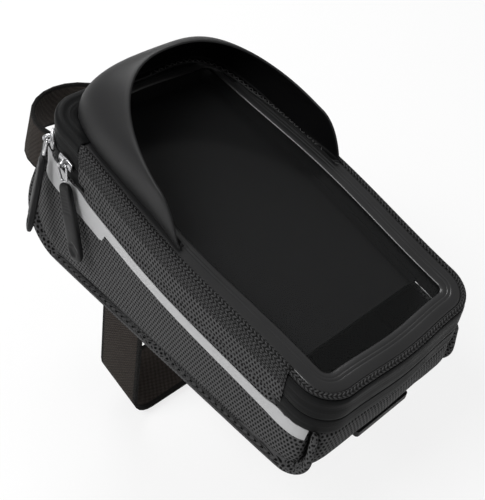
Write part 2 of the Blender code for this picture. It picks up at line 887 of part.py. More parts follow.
def corner_run(distance):
    """Point on the zip line and outward direction, from the start of the front-left corner."""
    turn = max(0.0, distance) / corner_radius
    outward = Vector((-math.cos(turn), math.sin(turn), 0))
    place = corner_centre() + outward * corner_radius + Vector((0, min(0.0, distance), 0))
    return place, outward


def build_slider(letter, joint):
    """A slider plate that follows the track, with the bridge for its pull."""
    run = slider_runs[letter]
    rows = []
    for i in range(5):
        place, out = corner_run(run + slider_length * (i - 2) / 4)
        taper = 1.0 - slider_taper * abs(i - 2) / 2
        section = ((0, -0.5), (0, 0.5), (0.7, 0.5), (1, 0.3), (1, -0.3), (0.7, -0.5))
        row = []
        for level, z in section:
            lift = slider_clearance + slider_thickness * level
            row.append(place + out * lift + Vector((0, 0, z * slider_height * taper)))
        rows.append(row)
    plate = finish_object(f"slider_{letter}", sweep(rows), materials["metal"])
    place, outward = corner_run(run)
    base = place + outward * (slider_clearance + slider_thickness)
    along = Vector((outward.y, -outward.x, 0))
    arch = bridge_shape(base, outward, along)
    bridge = finish_object(f"slider_{letter}_bridge", arch, materials["metal"])
    bridge.hide_render = True
    bridge.display_type = "WIRE"
    modifier = plate.modifiers.new("bridge", "BOOLEAN")
    modifier.operation = "UNION"
    modifier.object = bridge
    for item in (plate, bridge):
        item.parent = joint
        item.location = -joint.location


def bridge_shape(base, outward, along):
    """An arch over the plate, narrow along the track; the wire link hangs in its eye."""
    rows = []
    steps = 8
    for i in range(steps + 1):
        angle = math.pi * i / steps
        row = []
        for reach, side in ((0, -0.5), (0, 0.5), (bridge_bar, 0.5), (bridge_bar, -0.5)):
            rise = (bridge_rise - reach) * math.sin(angle) - bridge_sunk
            run = (bridge_span / 2 - reach) * math.cos(angle)
            row.append(base + outward * rise + Vector((0, 0, run)) + along * side * bridge_width)
        rows.append(row)
    return sweep(rows)


def pull_axis(letter):
    """Middle of the bridge's eye, where the wire link turns, in the lid frame."""
    place, outward = corner_run(slider_runs[letter])
    inside_top = slider_clearance + slider_thickness + bridge_rise - bridge_sunk - bridge_bar
    return place + outward * (inside_top - link_wire - seam_gap)


def build_pull(letter, joint):
    """A wire link and the rubber grip that is moulded onto it."""
    rows = []
    for point, ahead in link_route():
        side = Vector((0, 1, 0))
        across = ahead.cross(side).normalized()
        row = []
        for k in range(6):
            angle = math.radians(60 * k)
            row.append(point + (side * math.cos(angle) + across * math.sin(angle)) * link_wire)
        rows.append(row)
    finish_object(f"pull_link_{letter}", sweep(rows, True), materials["metal"], joint)
    finish_object(f"pull_grip_{letter}", grip_shape(), materials["rubber"], joint)


def link_route():
    """Closed loop of the wire, in the plane of the pull: x across, z along it."""
    half = link_width / 2
    narrow = half * link_taper
    depth = narrow * link_end_roundness
    turn = link_turn
    points = [Vector((x * (half - turn), 0, 0)) for x in (-1, -0.3, 0.3)]
    for i in range(4):
        angle = math.radians(90 - 30 * i)
        points.append(Vector((half - turn + turn * math.cos(angle), 0, turn * math.sin(angle) - turn)))
    for i in range(7):
        angle = math.pi * i / 6
        points.append(Vector((narrow * math.cos(angle), 0, -link_length - depth * math.sin(angle))))
    for i in range(3):
        angle = math.radians(180 - 30 * i)
        points.append(Vector((-half + turn + turn * math.cos(angle), 0, turn * math.sin(angle) - turn)))
    route = []
    count = len(points)
    for i, point in enumerate(points):
        ahead = (points[(i + 1) % count] - points[i - 1]).normalized()
        route.append((point, ahead))
    return route


def grip_shape():
    """A tapered bar with softened edges and a rounded end, which starts below the link."""
    rows = []
    steps = 10
    link_end = link_length + link_width / 2 * link_taper * link_end_roundness
    start = -(link_end + link_wire + seam_gap)
    for i in range(steps + 1):
        t = i / steps
        z = start - grip_length * t
        end = max(0.0, (t - 0.86) / 0.14)
        waist = 0.78 + 0.22 * smooth_rise(t, 0.0, 0.35)
        width = grip_width / 2 * waist * math.sqrt(1 - 0.6 * end**2)
        depth = grip_thickness / 2 * (1 - 0.35 * end**2)
        row = []
        half = [(-1, -0.5), (-0.7, -1), (0.7, -1), (1, -0.5)]
        for x, y in half + [(-x, -y) for x, y in half]:
            row.append(Vector((x * width, y * depth, z)))
        rows.append(row)
    return sweep(rows)


# Straps and pad


def ribbon(points, across, thickness):
    """A flat strap along a path; the thickness goes inwards from the path."""
    rows = []
    count = len(points)
    for i, point in enumerate(points):
        ahead = points[min(i + 1, count - 1)] - points[max(i - 1, 0)]
        inward = across.cross(ahead).normalized()
        far = point + across
        rows.append([point, far, far + inward * thickness, point + inward * thickness])
    return sweep(rows)


def build_tube_strap():
    """A sling round the tube, its two ends sewn flat under the bottom."""
    x = tube_strap_half
    r = tube_strap_corner
    fold = tube_strap_fold
    top = -seam_gap
    depth = tube_strap_depth
    points = [Vector((-(x - tube_strap_flange), 0, top))]
    for i in range(5):
        angle = math.radians(90 + 90 * i / 4)
        points.append(Vector((-x + fold + fold * math.cos(angle), 0, top - fold + fold * math.sin(angle))))
    for i in range(7):
        angle = math.radians(180 + 90 * i / 6)
        points.append(Vector((-x + r + r * math.cos(angle), 0, -depth + r + r * math.sin(angle))))
    points += [Vector((-p.x, 0, p.z)) for p in reversed(points)]
    across = Vector((0, -tube_strap_width, 0))
    bm = ribbon([p + Vector((0, tube_strap_front, 0)) for p in points], across, strap_thickness)
    for vert in bm.verts:
        sunk = min(1.0, max(0.0, -vert.co.z / depth))
        vert.co.z -= (tube_strap_front - vert.co.y) * tube_strap_slope * sunk
    finish_object("tube_strap", bm, materials["strap"])


def build_head_strap():
    """A band round the head tube, both ends sewn to the front wall."""
    tilt = math.radians(head_strap_tilt)
    start = front_wall_y - head_strap_sunk
    centre = start + head_strap_reach
    r = head_strap_radius
    points = [Vector((-head_strap_anchor, start, 0))]
    for i in range(17):
        angle = math.radians(head_strap_first_angle + head_strap_turn * i / 16)
        points.append(Vector((r * math.cos(angle), centre + r * math.sin(angle), 0)))
    points.append(Vector((head_strap_anchor, start, 0)))
    down = Vector((0, math.sin(tilt), -math.cos(tilt))) * head_strap_width
    lift = Vector((0, 0, head_strap_top))
    bm = ribbon([p + lift for p in points], down, strap_thickness)
    geometry = list(bm.verts) + list(bm.edges) + list(bm.faces)
    wall_face = front_wall_y + seam_gap
    made = bmesh.ops.bisect_plane(
        bm, geom=geometry, dist=1e-7, plane_co=(0, wall_face, 0), plane_no=(0, -1, 0), clear_outer=True
    )
    edges = [item for item in made["geom_cut"] if isinstance(item, bmesh.types.BMEdge)]
    bmesh.ops.edgeloop_fill(bm, edges=edges)
    finish_object("head_tube_strap", bm, materials["strap"])


def build_seat_pad():
    """The grippy pad that sits on the tube and shows past the rear wall."""
    rear = -(rear_wall_y - seat_pad_setback)
    bm = bmesh.new()
    bmesh.ops.create_cube(bm, size=1.0)
    bmesh.ops.scale(bm, verts=bm.verts, vec=(seat_pad_width, seat_pad_front - rear, seat_pad_thickness))
    place = (seat_pad_offset, (seat_pad_front + rear) / 2, -seam_gap - seat_pad_thickness / 2)
    bmesh.ops.translate(bm, verts=bm.verts, vec=place)
    upright = [e for e in bm.edges if abs(e.verts[0].co.z - e.verts[1].co.z) > seat_pad_thickness / 2]
    bmesh.ops.bevel(bm, geom=upright, offset=seat_pad_corner, segments=3, profile=0.5, affect="EDGES")
    finish_object("seat_pad", bm, materials["rubber"])


def make_empty(name, location, rotation=None, parent=None):
    empty = bpy.data.objects.new(name, None)
    bpy.context.scene.collection.objects.link(empty)
    empty.location = location
    if rotation is not None:
        empty.rotation_euler = rotation
    empty.parent = parent
    return empty


def build_lid():
    hinge_place = lid_to_bag((-(half_width + hinge_outset), 0, -zip_drop))
    lid = make_empty("lid_hinge_axis", hinge_place, (lid_pitch, 0, 0))
    build_lid_shell(lid)
    build_pocket(lid)
    build_visor(lid)
    build_zip(lid)
    return lid


def pull_directions(letter):
    """Across, outward and up axes of a hanging pull, in the lid frame."""
    outward = corner_run(slider_runs[letter])[1]
    lean = math.radians(pull_lean[letter])
    down = Matrix.Rotation(-lid_pitch, 3, "X") @ Vector((0, -math.sin(lean), -math.cos(lean)))
    flat = (down - outward * down.dot(outward)).normalized()
    up = -(flat + outward * pull_stand_off).normalized()
    across = outward.cross(up).normalized()
    return across, up.cross(across), up


def build_sliders():
    track_frame = make_empty("track_frame", (0, 0, lid_plane_height), (lid_pitch, 0, 0))
    joints = {"a": corner_centre(), "b": corner_run(slider_runs["b"])[0]}
    for letter in "ab":
        slider_joint = make_empty(f"slider_{letter}_axis", joints[letter], parent=track_frame)
        build_slider(letter, slider_joint)
        place = pull_axis(letter) - joints[letter]
        pull_joint = make_empty(f"pull_{letter}_axis", place, parent=slider_joint)
        pull_joint.rotation_euler = Matrix(pull_directions(letter)).transposed().to_euler()
        build_pull(letter, pull_joint)


materials = {}


def build_materials():
    materials["mesh"] = make_material("side_mesh", (0.085, 0.085, 0.085), 0.85)
    materials["piping"] = make_material("mesh_piping", (0.05, 0.05, 0.05), 0.85)
    materials["tape"] = make_material("coated_tape", (0.01, 0.011, 0.011), 0.5)
    materials["lining"] = make_material("lining_cloth", (0.02, 0.02, 0.02), 0.9)
    materials["board"] = make_material("stiffener_board", (0.03, 0.03, 0.03), 0.6)
    materials["reflective"] = make_material("reflective_tape", (0.42, 0.42, 0.42), 0.4)
    materials["border"] = make_material("window_border", (0.065, 0.065, 0.065), 0.35)
    materials["film"] = make_material("clear_film", (0.9, 0.9, 0.9), 0.1, alpha=0.15)
    materials["visor"] = make_material("visor_shell", (0.033, 0.033, 0.033), 0.6)
    materials["foam"] = make_material("foam_pad", (0.02, 0.02, 0.02), 0.95)
    materials["metal"] = make_material("bright_metal", (0.75, 0.75, 0.75), 0.25, metallic=1.0)
    materials["rubber"] = make_material("black_rubber", (0.012, 0.012, 0.012), 0.55)
    materials["strap"] = make_material("loop_strap", (0.04, 0.032, 0.028), 0.9)


def raise_onto_pad():
    """Lifts the finished bag, so that the pad's underside lies at height zero."""
    for item in bpy.data.objects:
        if item.parent is None:
            item.location.z += seat_pad_thickness + seam_gap


clear_scene()
build_materials()
build_tub()
build_strips()
build_lid()
build_sliders()
build_tube_strap()
build_head_strap()
build_seat_pad()
raise_onto_pad()
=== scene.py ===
import json
import math

import bmesh
import bpy
from mathutils import Matrix, Vector
from mathutils.bvhtree import BVHTree
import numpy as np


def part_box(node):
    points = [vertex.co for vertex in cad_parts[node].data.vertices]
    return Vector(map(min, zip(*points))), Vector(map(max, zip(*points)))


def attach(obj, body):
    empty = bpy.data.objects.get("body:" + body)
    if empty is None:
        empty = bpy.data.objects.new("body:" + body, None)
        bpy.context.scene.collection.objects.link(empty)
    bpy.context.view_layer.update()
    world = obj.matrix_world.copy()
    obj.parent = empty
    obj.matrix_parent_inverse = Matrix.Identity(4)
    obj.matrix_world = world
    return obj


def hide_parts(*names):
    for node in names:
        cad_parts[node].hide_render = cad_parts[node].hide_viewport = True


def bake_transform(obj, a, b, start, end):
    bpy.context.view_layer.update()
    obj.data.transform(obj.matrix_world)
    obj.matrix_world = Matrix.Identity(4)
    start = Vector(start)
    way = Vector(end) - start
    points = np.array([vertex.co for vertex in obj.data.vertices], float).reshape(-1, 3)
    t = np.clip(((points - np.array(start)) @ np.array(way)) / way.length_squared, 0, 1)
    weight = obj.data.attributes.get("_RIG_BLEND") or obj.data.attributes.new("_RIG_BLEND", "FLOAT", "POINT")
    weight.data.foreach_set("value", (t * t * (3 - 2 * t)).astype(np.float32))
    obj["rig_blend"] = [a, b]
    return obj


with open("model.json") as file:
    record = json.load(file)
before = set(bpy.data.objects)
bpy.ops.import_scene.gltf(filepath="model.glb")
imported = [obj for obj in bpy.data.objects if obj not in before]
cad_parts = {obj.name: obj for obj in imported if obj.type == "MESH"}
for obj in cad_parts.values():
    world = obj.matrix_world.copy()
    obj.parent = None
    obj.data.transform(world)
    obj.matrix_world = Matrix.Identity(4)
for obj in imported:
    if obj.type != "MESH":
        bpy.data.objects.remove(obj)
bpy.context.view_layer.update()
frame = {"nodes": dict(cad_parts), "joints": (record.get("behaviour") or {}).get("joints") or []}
nodes = frame["nodes"]
mm = 0.001

# The lid's plane and outline, as the frame has them
lid = {
    "pitch": math.radians(10.5),
    "planeHeight": 65.0 * mm,
    "halfWidth": 47.5 * mm,
    "rearEnd": 84.0 * mm,
    "frontEnd": 87.0 * mm,
    "cornerRadius": 15.0 * mm,
    "sideBulge": 3.0 * mm,
    "endBulge": 1.5 * mm,
    "hingeFront": 58.0 * mm,
    "hingeRear": 62.0 * mm,
    "hingeLap": 2.0 * mm,
    "zipDrop": 11.7 * mm,
    "bandBottom": 18.7 * mm,
}

photoCamera = {
    "place": (-228.99 * mm, -177.41 * mm, 304.87 * mm),
    "across": (0.70973, -0.69199, 0.13206),
    "up": (0.40823, 0.55676, 0.72344),
    "back": (-0.57414, -0.45953, 0.67764),
    "lens": 66.2256,
}


# Shader maths as plain expressions


class Signal:
    def __init__(self, finish, socket):
        self.finish = finish
        self.socket = socket

    def __add__(self, other):
        return self.finish.math("ADD", self, other)

    def __radd__(self, other):
        return self.finish.math("ADD", other, self)

    def __sub__(self, other):
        return self.finish.math("SUBTRACT", self, other)

    def __rsub__(self, other):
        return self.finish.math("SUBTRACT", other, self)

    def __mul__(self, other):
        return self.finish.math("MULTIPLY", self, other)

    def __rmul__(self, other):
        return self.finish.math("MULTIPLY", other, self)

    def __truediv__(self, other):
        return self.finish.math("DIVIDE", self, other)


class Finish:
    def __init__(self, name, roughness=0.8, metallic=0.0, **sockets):
        self.material = bpy.data.materials.new(name)
        self.material.use_nodes = True
        self.tree = self.material.node_tree
        self.shader = self.tree.nodes["Principled BSDF"]
        self.shader.inputs["Roughness"].default_value = roughness
        self.shader.inputs["Metallic"].default_value = metallic
        for socketName, value in sockets.items():
            self.shader.inputs[socketName.replace("_", " ")].default_value = value

    def node(self, kind, settings=None, values=None, output=0):
        made = self.tree.nodes.new(kind)
        for key, value in (settings or {}).items():
            setattr(made, key, value)
        for key, value in (values or {}).items():
            self.feed(made.inputs[key], value)
        return Signal(self, made.outputs[output])

    def feed(self, socket, value):
        if isinstance(value, Signal):
            self.tree.links.new(value.socket, socket)
        else:
            socket.default_value = value

    def math(self, operation, first, second=0.0):
        return self.node("ShaderNodeMath", {"operation": operation}, {0: first, 1: second})

    def smooth(self, value, low, high):
        settings = {"interpolation_type": "SMOOTHSTEP"}
        values = {"Value": value, "From Min": low, "From Max": high}
        return self.node("ShaderNodeMapRange", settings, values)

    def mixColour(self, factor, first, second):
        first = first if isinstance(first, Signal) else (*first, 1.0)
        second = second if isinstance(second, Signal) else (*second, 1.0)
        values = {"Factor": factor, 6: first, 7: second}
        return self.node("ShaderNodeMix", {"data_type": "RGBA"}, values, output=2)

    def placeOnPiece(self):
        return self.node("ShaderNodeTexCoord", output=3)

    def clothPlace(self):
        return self.node("ShaderNodeUVMap", {"uv_map": "cloth"})

    def parts(self, vector):
        split = self.tree.nodes.new("ShaderNodeSeparateXYZ")
        self.feed(split.inputs[0], vector)
        return [Signal(self, split.outputs[i]) for i in range(3)]

    def noise(self, vector, scale, detail=3.0, roughness=0.5):
        values = {"Vector": vector, "Scale": scale, "Detail": detail, "Roughness": roughness}
        return self.node("ShaderNodeTexNoise", None, values)

    def bump(self, height, distance, strength=1.0, base=None):
        values = {"Height": height, "Distance": distance, "Strength": strength}
        if base is not None:
            values["Normal"] = base
        return self.node("ShaderNodeBump", None, values)

    def colour(self, value):
        self.feed(self.shader.inputs["Base Color"], value if isinstance(value, Signal) else (*value, 1.0))

    def set(self, socketName, value):
        self.feed(self.shader.inputs[socketName], value)


def airMesh():
    # Spacer mesh: a dark knit face with staggered black holes
    look = {
        "pitch": 1.8, "row": 1.9, "hole": 0.28, "tall": 1.3, "edge": 0.07,
        "dark": (0.044, 0.044, 0.045), "light": (0.072, 0.072, 0.073), "gap": (0.0015, 0.0015, 0.0015),
    }
    finish = Finish("airMesh", 0.8, Specular_IOR_Level=0.25)
    u, v, _ = finish.parts(finish.clothPlace())
    row = finish.math("FLOOR", v / look["row"])
    shift = finish.math("MODULO", finish.math("ABSOLUTE", row), 2.0) * 0.5
    x = finish.math("FRACT", u / look["pitch"] + shift) - 0.5
    y = finish.math("FRACT", v / look["row"]) - 0.5
    far = finish.math("SQRT", x * x + y * y * (look["row"] / look["pitch"] / look["tall"]) ** 2)
    hole = 1.0 - finish.smooth(far, look["hole"] - look["edge"], look["hole"] + look["edge"])
    cloud = finish.noise(finish.placeOnPiece(), 700.0, 2.0)
    face = finish.mixColour(cloud, look["dark"], look["light"])
    finish.colour(finish.mixColour(hole, face, look["gap"]))
    finish.set("Roughness", 0.72 + hole * 0.25)
    finish.set("Normal", finish.bump((1.0 - hole) + cloud * 0.2, 0.0004))
    return finish.material


def knitRoll():
    # The same knit pulled round a cord: columns of small V stitches
    look = {"column": 2.2, "stitch": 1.9, "thread": (0.050, 0.050, 0.051), "gap": (0.0015, 0.0015, 0.0015)}
    finish = Finish("knitRoll", 0.8, Specular_IOR_Level=0.25)
    u, v, _ = finish.parts(finish.clothPlace())
    lean = finish.math("PINGPONG", v / look["column"], 0.5)
    thread = finish.math("FRACT", u / look["stitch"] + lean * 1.3)
    bead = finish.math("SINE", thread * math.pi)
    ridge = finish.math("ABSOLUTE", finish.math("SINE", v / look["column"] * 2.0 * math.pi))
    height = bead * (0.4 + ridge * 0.6)
    mask = finish.smooth(height, 0.25, 0.75)
    finish.colour(finish.mixColour(mask, look["gap"], look["thread"]))
    finish.set("Normal", finish.bump(height, 0.0007))
    return finish.material


def coatedCloth():
    # Satin waterproof coating with fine grain and long soft ridges
    look = {
        "stretch": (0.012, 0.30, 1.0), "dark": (0.0048, 0.0050, 0.0052), "light": (0.0084, 0.0086, 0.0088),
    }
    finish = Finish("coatedCloth", 0.5, Specular_IOR_Level=0.07)
    place = finish.placeOnPiece()
    grain = finish.noise(place, 1500.0, 2.0, 0.6)
    values = {"Vector": finish.clothPlace(), "Scale": look["stretch"]}
    along = finish.node("ShaderNodeMapping", None, values)
    ridges = finish.noise(along, 1.0, 2.0, 0.4)
    rub = finish.noise(place, 90.0, 3.0)
    finish.colour(finish.mixColour(rub, look["dark"], look["light"]))
    finish.set("Roughness", 0.44 + rub * 0.16)
    soft = finish.bump(ridges, 0.0012, 0.5)
    finish.set("Normal", finish.bump(grain, 0.00008, 1.0, soft))
    return finish.material


def rubbedSurface(name, look):
    # A plain surface, its colour and roughness varied by rub, over a fine grain
    finish = Finish(name, look["base"], look.get("metallic", 0.0), Specular_IOR_Level=look["gloss"])
    place = finish.placeOnPiece()
    rub = finish.noise(place, *look["rub"])
    finish.colour(finish.mixColour(rub, look["dark"], look["light"]))
    finish.set("Roughness", look["roughness"] + rub * look["spread"])
    finish.set("Normal", finish.bump(finish.noise(place, *look["grain"]), look["relief"]))
    return finish.material


def reflectiveTape():
    finish = Finish("reflectiveTape", 0.45, Specular_IOR_Level=0.5)
    place = finish.placeOnPiece()
    beads = finish.node("ShaderNodeTexVoronoi", {"feature": "F1"}, {"Vector": place, "Scale": 1900.0})
    wear = finish.noise(place, 40.0, 2.0)
    finish.colour(finish.mixColour(wear, (0.40, 0.40, 0.405), (0.43, 0.43, 0.435)))
    finish.set("Roughness", 0.42 + wear * 0.08)
    finish.set("Normal", finish.bump(beads, 0.000015))
    return finish.material


def loopBand():
    # Hook-and-loop webbing: a brown-black twill with darker woven edges
    look = {
        "twill": 1.3, "middle": 14.0, "edge": (11.6, 12.4),
        "light": (0.046, 0.037, 0.031), "dark": (0.012, 0.0095, 0.008), "selvage": (0.005, 0.0045, 0.004),
    }
    finish = Finish("loopBand", 0.9, Specular_IOR_Level=0.2)
    u, v, _ = finish.parts(finish.clothPlace())
    twill = finish.math("SINE", (u + v) * (2.0 * math.pi / look["twill"]))
    cross = finish.math("SINE", (u - v) * (2.0 * math.pi / look["twill"] * 0.5))
    fuzz = finish.noise(finish.placeOnPiece(), 900.0, 3.0, 0.7)
    height = twill * 0.35 + cross * 0.15 + fuzz * 0.8
    edge = finish.smooth(finish.math("ABSOLUTE", v - look["middle"]), *look["edge"])
    body = finish.mixColour(finish.smooth(height, 0.0, 0.9), look["dark"], look["light"])
    finish.colour(finish.mixColour(edge, body, look["selvage"]))
    finish.set("Normal", finish.bump(height, 0.00035))
    return finish.material


def clearFilm():
    # Thin clear sheet: a faint gloss with a slow ripple over what lies under it
    finish = Finish("clearFilm", 0.16, Alpha=0.14, Specular_IOR_Level=0.6)
    ripple = finish.noise(finish.placeOnPiece(), 12.0, 0.0)
    finish.colour((0.02, 0.021, 0.021))
    finish.set("Normal", finish.bump(ripple, 0.0004, 0.3))
    return finish.material


def innerCloth(name, dark, light, threads):
    finish = Finish(name, 0.9, Specular_IOR_Level=0.15)
    place = finish.placeOnPiece()
    x, y, z = finish.parts(place)
    weave = finish.math("SINE", (x + z) * threads) * finish.math("SINE", (y - z) * threads)
    cloud = finish.noise(place, 50.0, 3.0)
    finish.colour(finish.mixColour(finish.smooth(weave + cloud, -0.2, 1.4), dark, light))
    finish.set("Normal", finish.bump(weave, 0.000015))
    return finish.material


def foamSkin():
    finish = Finish("foamSkin", 0.95, Specular_IOR_Level=0.15)
    place = finish.placeOnPiece()
    cells = finish.noise(place, 160.0, 1.0)
    finish.colour(finish.mixColour(cells, (0.010, 0.010, 0.0105), (0.012, 0.012, 0.0125)))
    finish.set("Normal", finish.bump(cells, 0.00003))
    return finish.material


def sewingThread():
    finish = Finish("sewingThread", 0.7, Specular_IOR_Level=0.2)
    place = finish.placeOnPiece()
    ply = finish.noise(place, 1800.0, 1.0)
    finish.colour(finish.mixColour(ply, (0.035, 0.035, 0.035), (0.085, 0.085, 0.085)))
    finish.set("Normal", finish.bump(ply, 0.0001))
    return finish.material


borderLook = {
    "base": 0.3, "gloss": 0.55, "rub": (60.0, 3.0), "roughness": 0.24, "spread": 0.14,
    "dark": (0.012, 0.012, 0.0125), "light": (0.018, 0.018, 0.0185),
    "grain": (900.0, 2.0), "relief": 0.00004,
}
shellLook = {
    "base": 0.5, "gloss": 0.25, "rub": (45.0, 4.0), "roughness": 0.44, "spread": 0.14,
    "dark": (0.0105, 0.0105, 0.011), "light": (0.0145, 0.0145, 0.015),
    "grain": (1300.0, 3.0, 0.7), "relief": 0.00006,
}
# The hood's inner face: the shell's own look made matte, its colour darkened as painted shade under the hood
shellInsidePaintedShadeLook = {
    **shellLook, "gloss": 0.06, "dark": (0.002, 0.002, 0.0022), "light": (0.0034, 0.0034, 0.0036),
}
metalLook = {
    "base": 0.2, "metallic": 1.0, "gloss": 0.5, "rub": (260.0, 3.0), "roughness": 0.20, "spread": 0.16,
    "dark": (0.46, 0.46, 0.47), "light": (0.60, 0.60, 0.61),
    "grain": (600.0, 2.0), "relief": 0.00004,
}
rubberLook = {
    "base": 0.5, "gloss": 0.25, "rub": (220.0, 3.0), "roughness": 0.42, "spread": 0.2,
    "dark": (0.0045, 0.0045, 0.005), "light": (0.009, 0.009, 0.0095),
    "grain": (1500.0, 2.0), "relief": 0.00005,
}
finishes = {
    "airMesh": airMesh(),
    "knitRoll": knitRoll(),
    "coated": coatedCloth(),
    "border": rubbedSurface("smoothBorder", borderLook),
    "shell": rubbedSurface("visorShell", shellLook),
    "shellInsidePaintedShade": rubbedSurface("visorInsidePaintedShade", shellInsidePaintedShadeLook),
    "reflective": reflectiveTape(),
    "band": loopBand(),
    "metal": rubbedSurface("brightMetal", metalLook),
    "rubber": rubbedSurface("mouldedRubber", rubberLook),
    "film": clearFilm(),
    "lining": innerCloth("liningCloth", (0.008, 0.008, 0.0085), (0.011, 0.011, 0.0115), 3600.0),
    "board": innerCloth("boardCloth", (0.012, 0.012, 0.0125), (0.022, 0.022, 0.0225), 3000.0),
    "foam": foamSkin(),
    "thread": sewingThread(),
}
print("finishes made")


# Places on the lid


def fromLid(x, y, z):
    turn = Matrix.Rotation(lid["pitch"], 3, "X")
    return turn @ Vector((x, y, z)) + Vector((0.0, 0.0, lid["planeHeight"]))


def onWall(station, inset, height):
    # The lid's walls stand square to the bag's bottom, not to the lid
    place, out = station
    flat = place - out * inset
    return fromLid(flat.x, flat.y + height * math.tan(lid["pitch"]), height)


def bowedSide(start, end, bulge, steps):
    along = end - start
    out = Vector((along.y, -along.x)).normalized()
    stations = []
    for i in range(steps + 1):
        t = i / steps
        place = start + along * t + out * bulge * math.sin(math.pi * t) ** 2
        slope = along + out * bulge * math.pi * math.sin(2 * math.pi * t)
        stations.append((place, Vector((slope.y, -slope.x)).normalized()))
    return stations


def roundCorner(centre, startAngle, steps):
    stations = []
    for i in range(steps + 1):
        angle = math.radians(startAngle + 90 * i / steps)
        out = Vector((math.cos(angle), math.sin(angle)))
        stations.append((centre + out * lid["cornerRadius"], out))
    return stations


def lidOutline(cornerSteps, sideSteps):
    # Round the lid from the front end of its left side, anticlockwise from above
    half = lid["halfWidth"]
    frontEnd, rearEnd = lid["frontEnd"], lid["rearEnd"]
    x = half - lid["cornerRadius"]
    front = frontEnd - lid["cornerRadius"]
    rear = rearEnd - lid["cornerRadius"]
    long, short = lid["sideBulge"], lid["endBulge"]
    left = bowedSide(Vector((-half, front)), Vector((-half, -rear)), long, sideSteps)
    back = bowedSide(Vector((-x, -rearEnd)), Vector((x, -rearEnd)), short, sideSteps // 3)
    right = bowedSide(Vector((half, -rear)), Vector((half, front)), long, sideSteps)
    nose = bowedSide(Vector((x, frontEnd)), Vector((-x, frontEnd)), short, sideSteps // 3)
    stations = left + roundCorner(Vector((-x, -rear)), 180, cornerSteps)[1:] + back[1:]
    stations += roundCorner(Vector((x, -rear)), 270, cornerSteps)[1:] + right[1:]
    stations += roundCorner(Vector((x, front)), 0, cornerSteps)[1:] + nose[1:]
    stations += roundCorner(Vector((-x, front)), 90, cornerSteps)[1:-1]
    return stations


def onHinge(place, lap):
    # Whether a place lies on the hinge's stretch, made longer by lap at both ends
    return place.x < 0 and -lid["hingeRear"] - lap < place.y < lid["hingeFront"] + lap


def zipStretch():
    # The outline without its hinge: from the hinge's rear end round to its front end
    stations = lidOutline(12, 56)
    hinge = [i for i, (place, _) in enumerate(stations) if onHinge(place, -lid["hingeLap"])]
    return stations[hinge[-1] + 1:] + stations[:hinge[0]]


def hingeStretch():
    return [station for station in lidOutline(12, 56) if onHinge(station[0], lid["hingeLap"])]


# Mesh helpers


def newPiece(name, bm, body, materials):
    mesh = bpy.data.meshes.new(name)
    bm.to_mesh(mesh)
    bm.free()
    mesh.shade_smooth()
    piece = bpy.data.objects.new(name, mesh)
    bpy.context.scene.collection.objects.link(piece)
    for material in materials:
        mesh.materials.append(material)
    if body is not None:
        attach(piece, body)
    return piece


def subdivided(piece, levels):
    modifier = piece.modifiers.new("smooth form", "SUBSURF")
    modifier.levels = levels
    modifier.render_levels = levels


def thickened(piece, thickness, offset=-1.0):
    modifier = piece.modifiers.new("thickness", "SOLIDIFY")
    modifier.thickness = thickness
    modifier.offset = offset
    return modifier


def runAlong(stations, profile, closedRing, closedProfile, place=onWall):
    # Draws a profile of (inset, height) once and extrudes it from station to station
    bm = bmesh.new()
    uv = bm.loops.layers.uv.new("cloth")
    along = bm.verts.layers.float.new("along")
    across = bm.verts.layers.float.new("across")
    girth = [0.0]
    for (a, b), (c, d) in zip(profile, profile[1:]):
        girth.append(girth[-1] + math.hypot(c - a, d - b))
    verts = [bm.verts.new(place(stations[0], *pair)) for pair in profile]
    edges = [bm.edges.new(pair) for pair in zip(verts, verts[1:])]
    if closedProfile:
        edges.append(bm.edges.new((verts[-1], verts[0])))
    for vert, width in zip(verts, girth):
        vert[across] = width
    firstEdges = edges
    distance = 0.0
    ring = stations[1:] + ([stations[0]] if closedRing else [])
    before = stations[0][0]
    for station in ring:
        distance += (station[0] - before).length
        before = station[0]
        made = bmesh.ops.extrude_edge_only(bm, edges=edges)["geom"]
        edges = [item for item in made if isinstance(item, bmesh.types.BMEdge) and item.is_boundary]
        fresh = [item for item in made if isinstance(item, bmesh.types.BMVert)]
        edges = [edge for edge in edges if edge.verts[0] in fresh and edge.verts[1] in fresh]
        for vert in fresh:
            k = min(range(len(girth)), key=lambda i: abs(girth[i] - vert[across]))
            vert.co = place(station, *profile[k])
            vert[along] = distance
    for face in bm.faces:
        for loop in face.loops:
            loop[uv].uv = (loop.vert[along] / mm, loop.vert[across] / mm)
    if closedRing:
        bmesh.ops.remove_doubles(bm, verts=bm.verts, dist=1e-6)
    elif closedProfile:
        bmesh.ops.edgeloop_fill(bm, edges=firstEdges)
        bmesh.ops.edgeloop_fill(bm, edges=edges)
    bmesh.ops.recalc_face_normals(bm, faces=bm.faces)
    return bm


def layCloth(mesh):
    # Cloth map in millimetres, laid on from the side that each face looks to
    layer = mesh.uv_layers.get("cloth") or mesh.uv_layers.new(name="cloth")
    for face in mesh.polygons:
        size = [abs(part) for part in face.normal]
        first, second = ((1, 2), (0, 2), (0, 1))[size.index(max(size))]
        for index in face.loop_indices:
            place = mesh.vertices[mesh.loops[index].vertex_index].co
            layer.data[index].uv = (place[first] / mm, place[second] / mm)


def copiedNode(nodeName):
    bm = bmesh.new()
    bm.from_mesh(nodes[nodeName].data)
    bmesh.ops.remove_doubles(bm, verts=bm.verts, dist=1e-5)
    flat = {"angle_face_threshold": 0.7, "angle_shape_threshold": 0.7}
    bmesh.ops.join_triangles(bm, faces=bm.faces, **flat)
    return bm


def finishedMesh(piece):
    # The piece's mesh with its modifiers worked in
    graph = bpy.context.evaluated_depsgraph_get()
    mesh = bpy.data.meshes.new_from_object(piece.evaluated_get(graph))
    old = piece.data
    piece.modifiers.clear()
    piece.data = mesh
    bpy.data.meshes.remove(old)


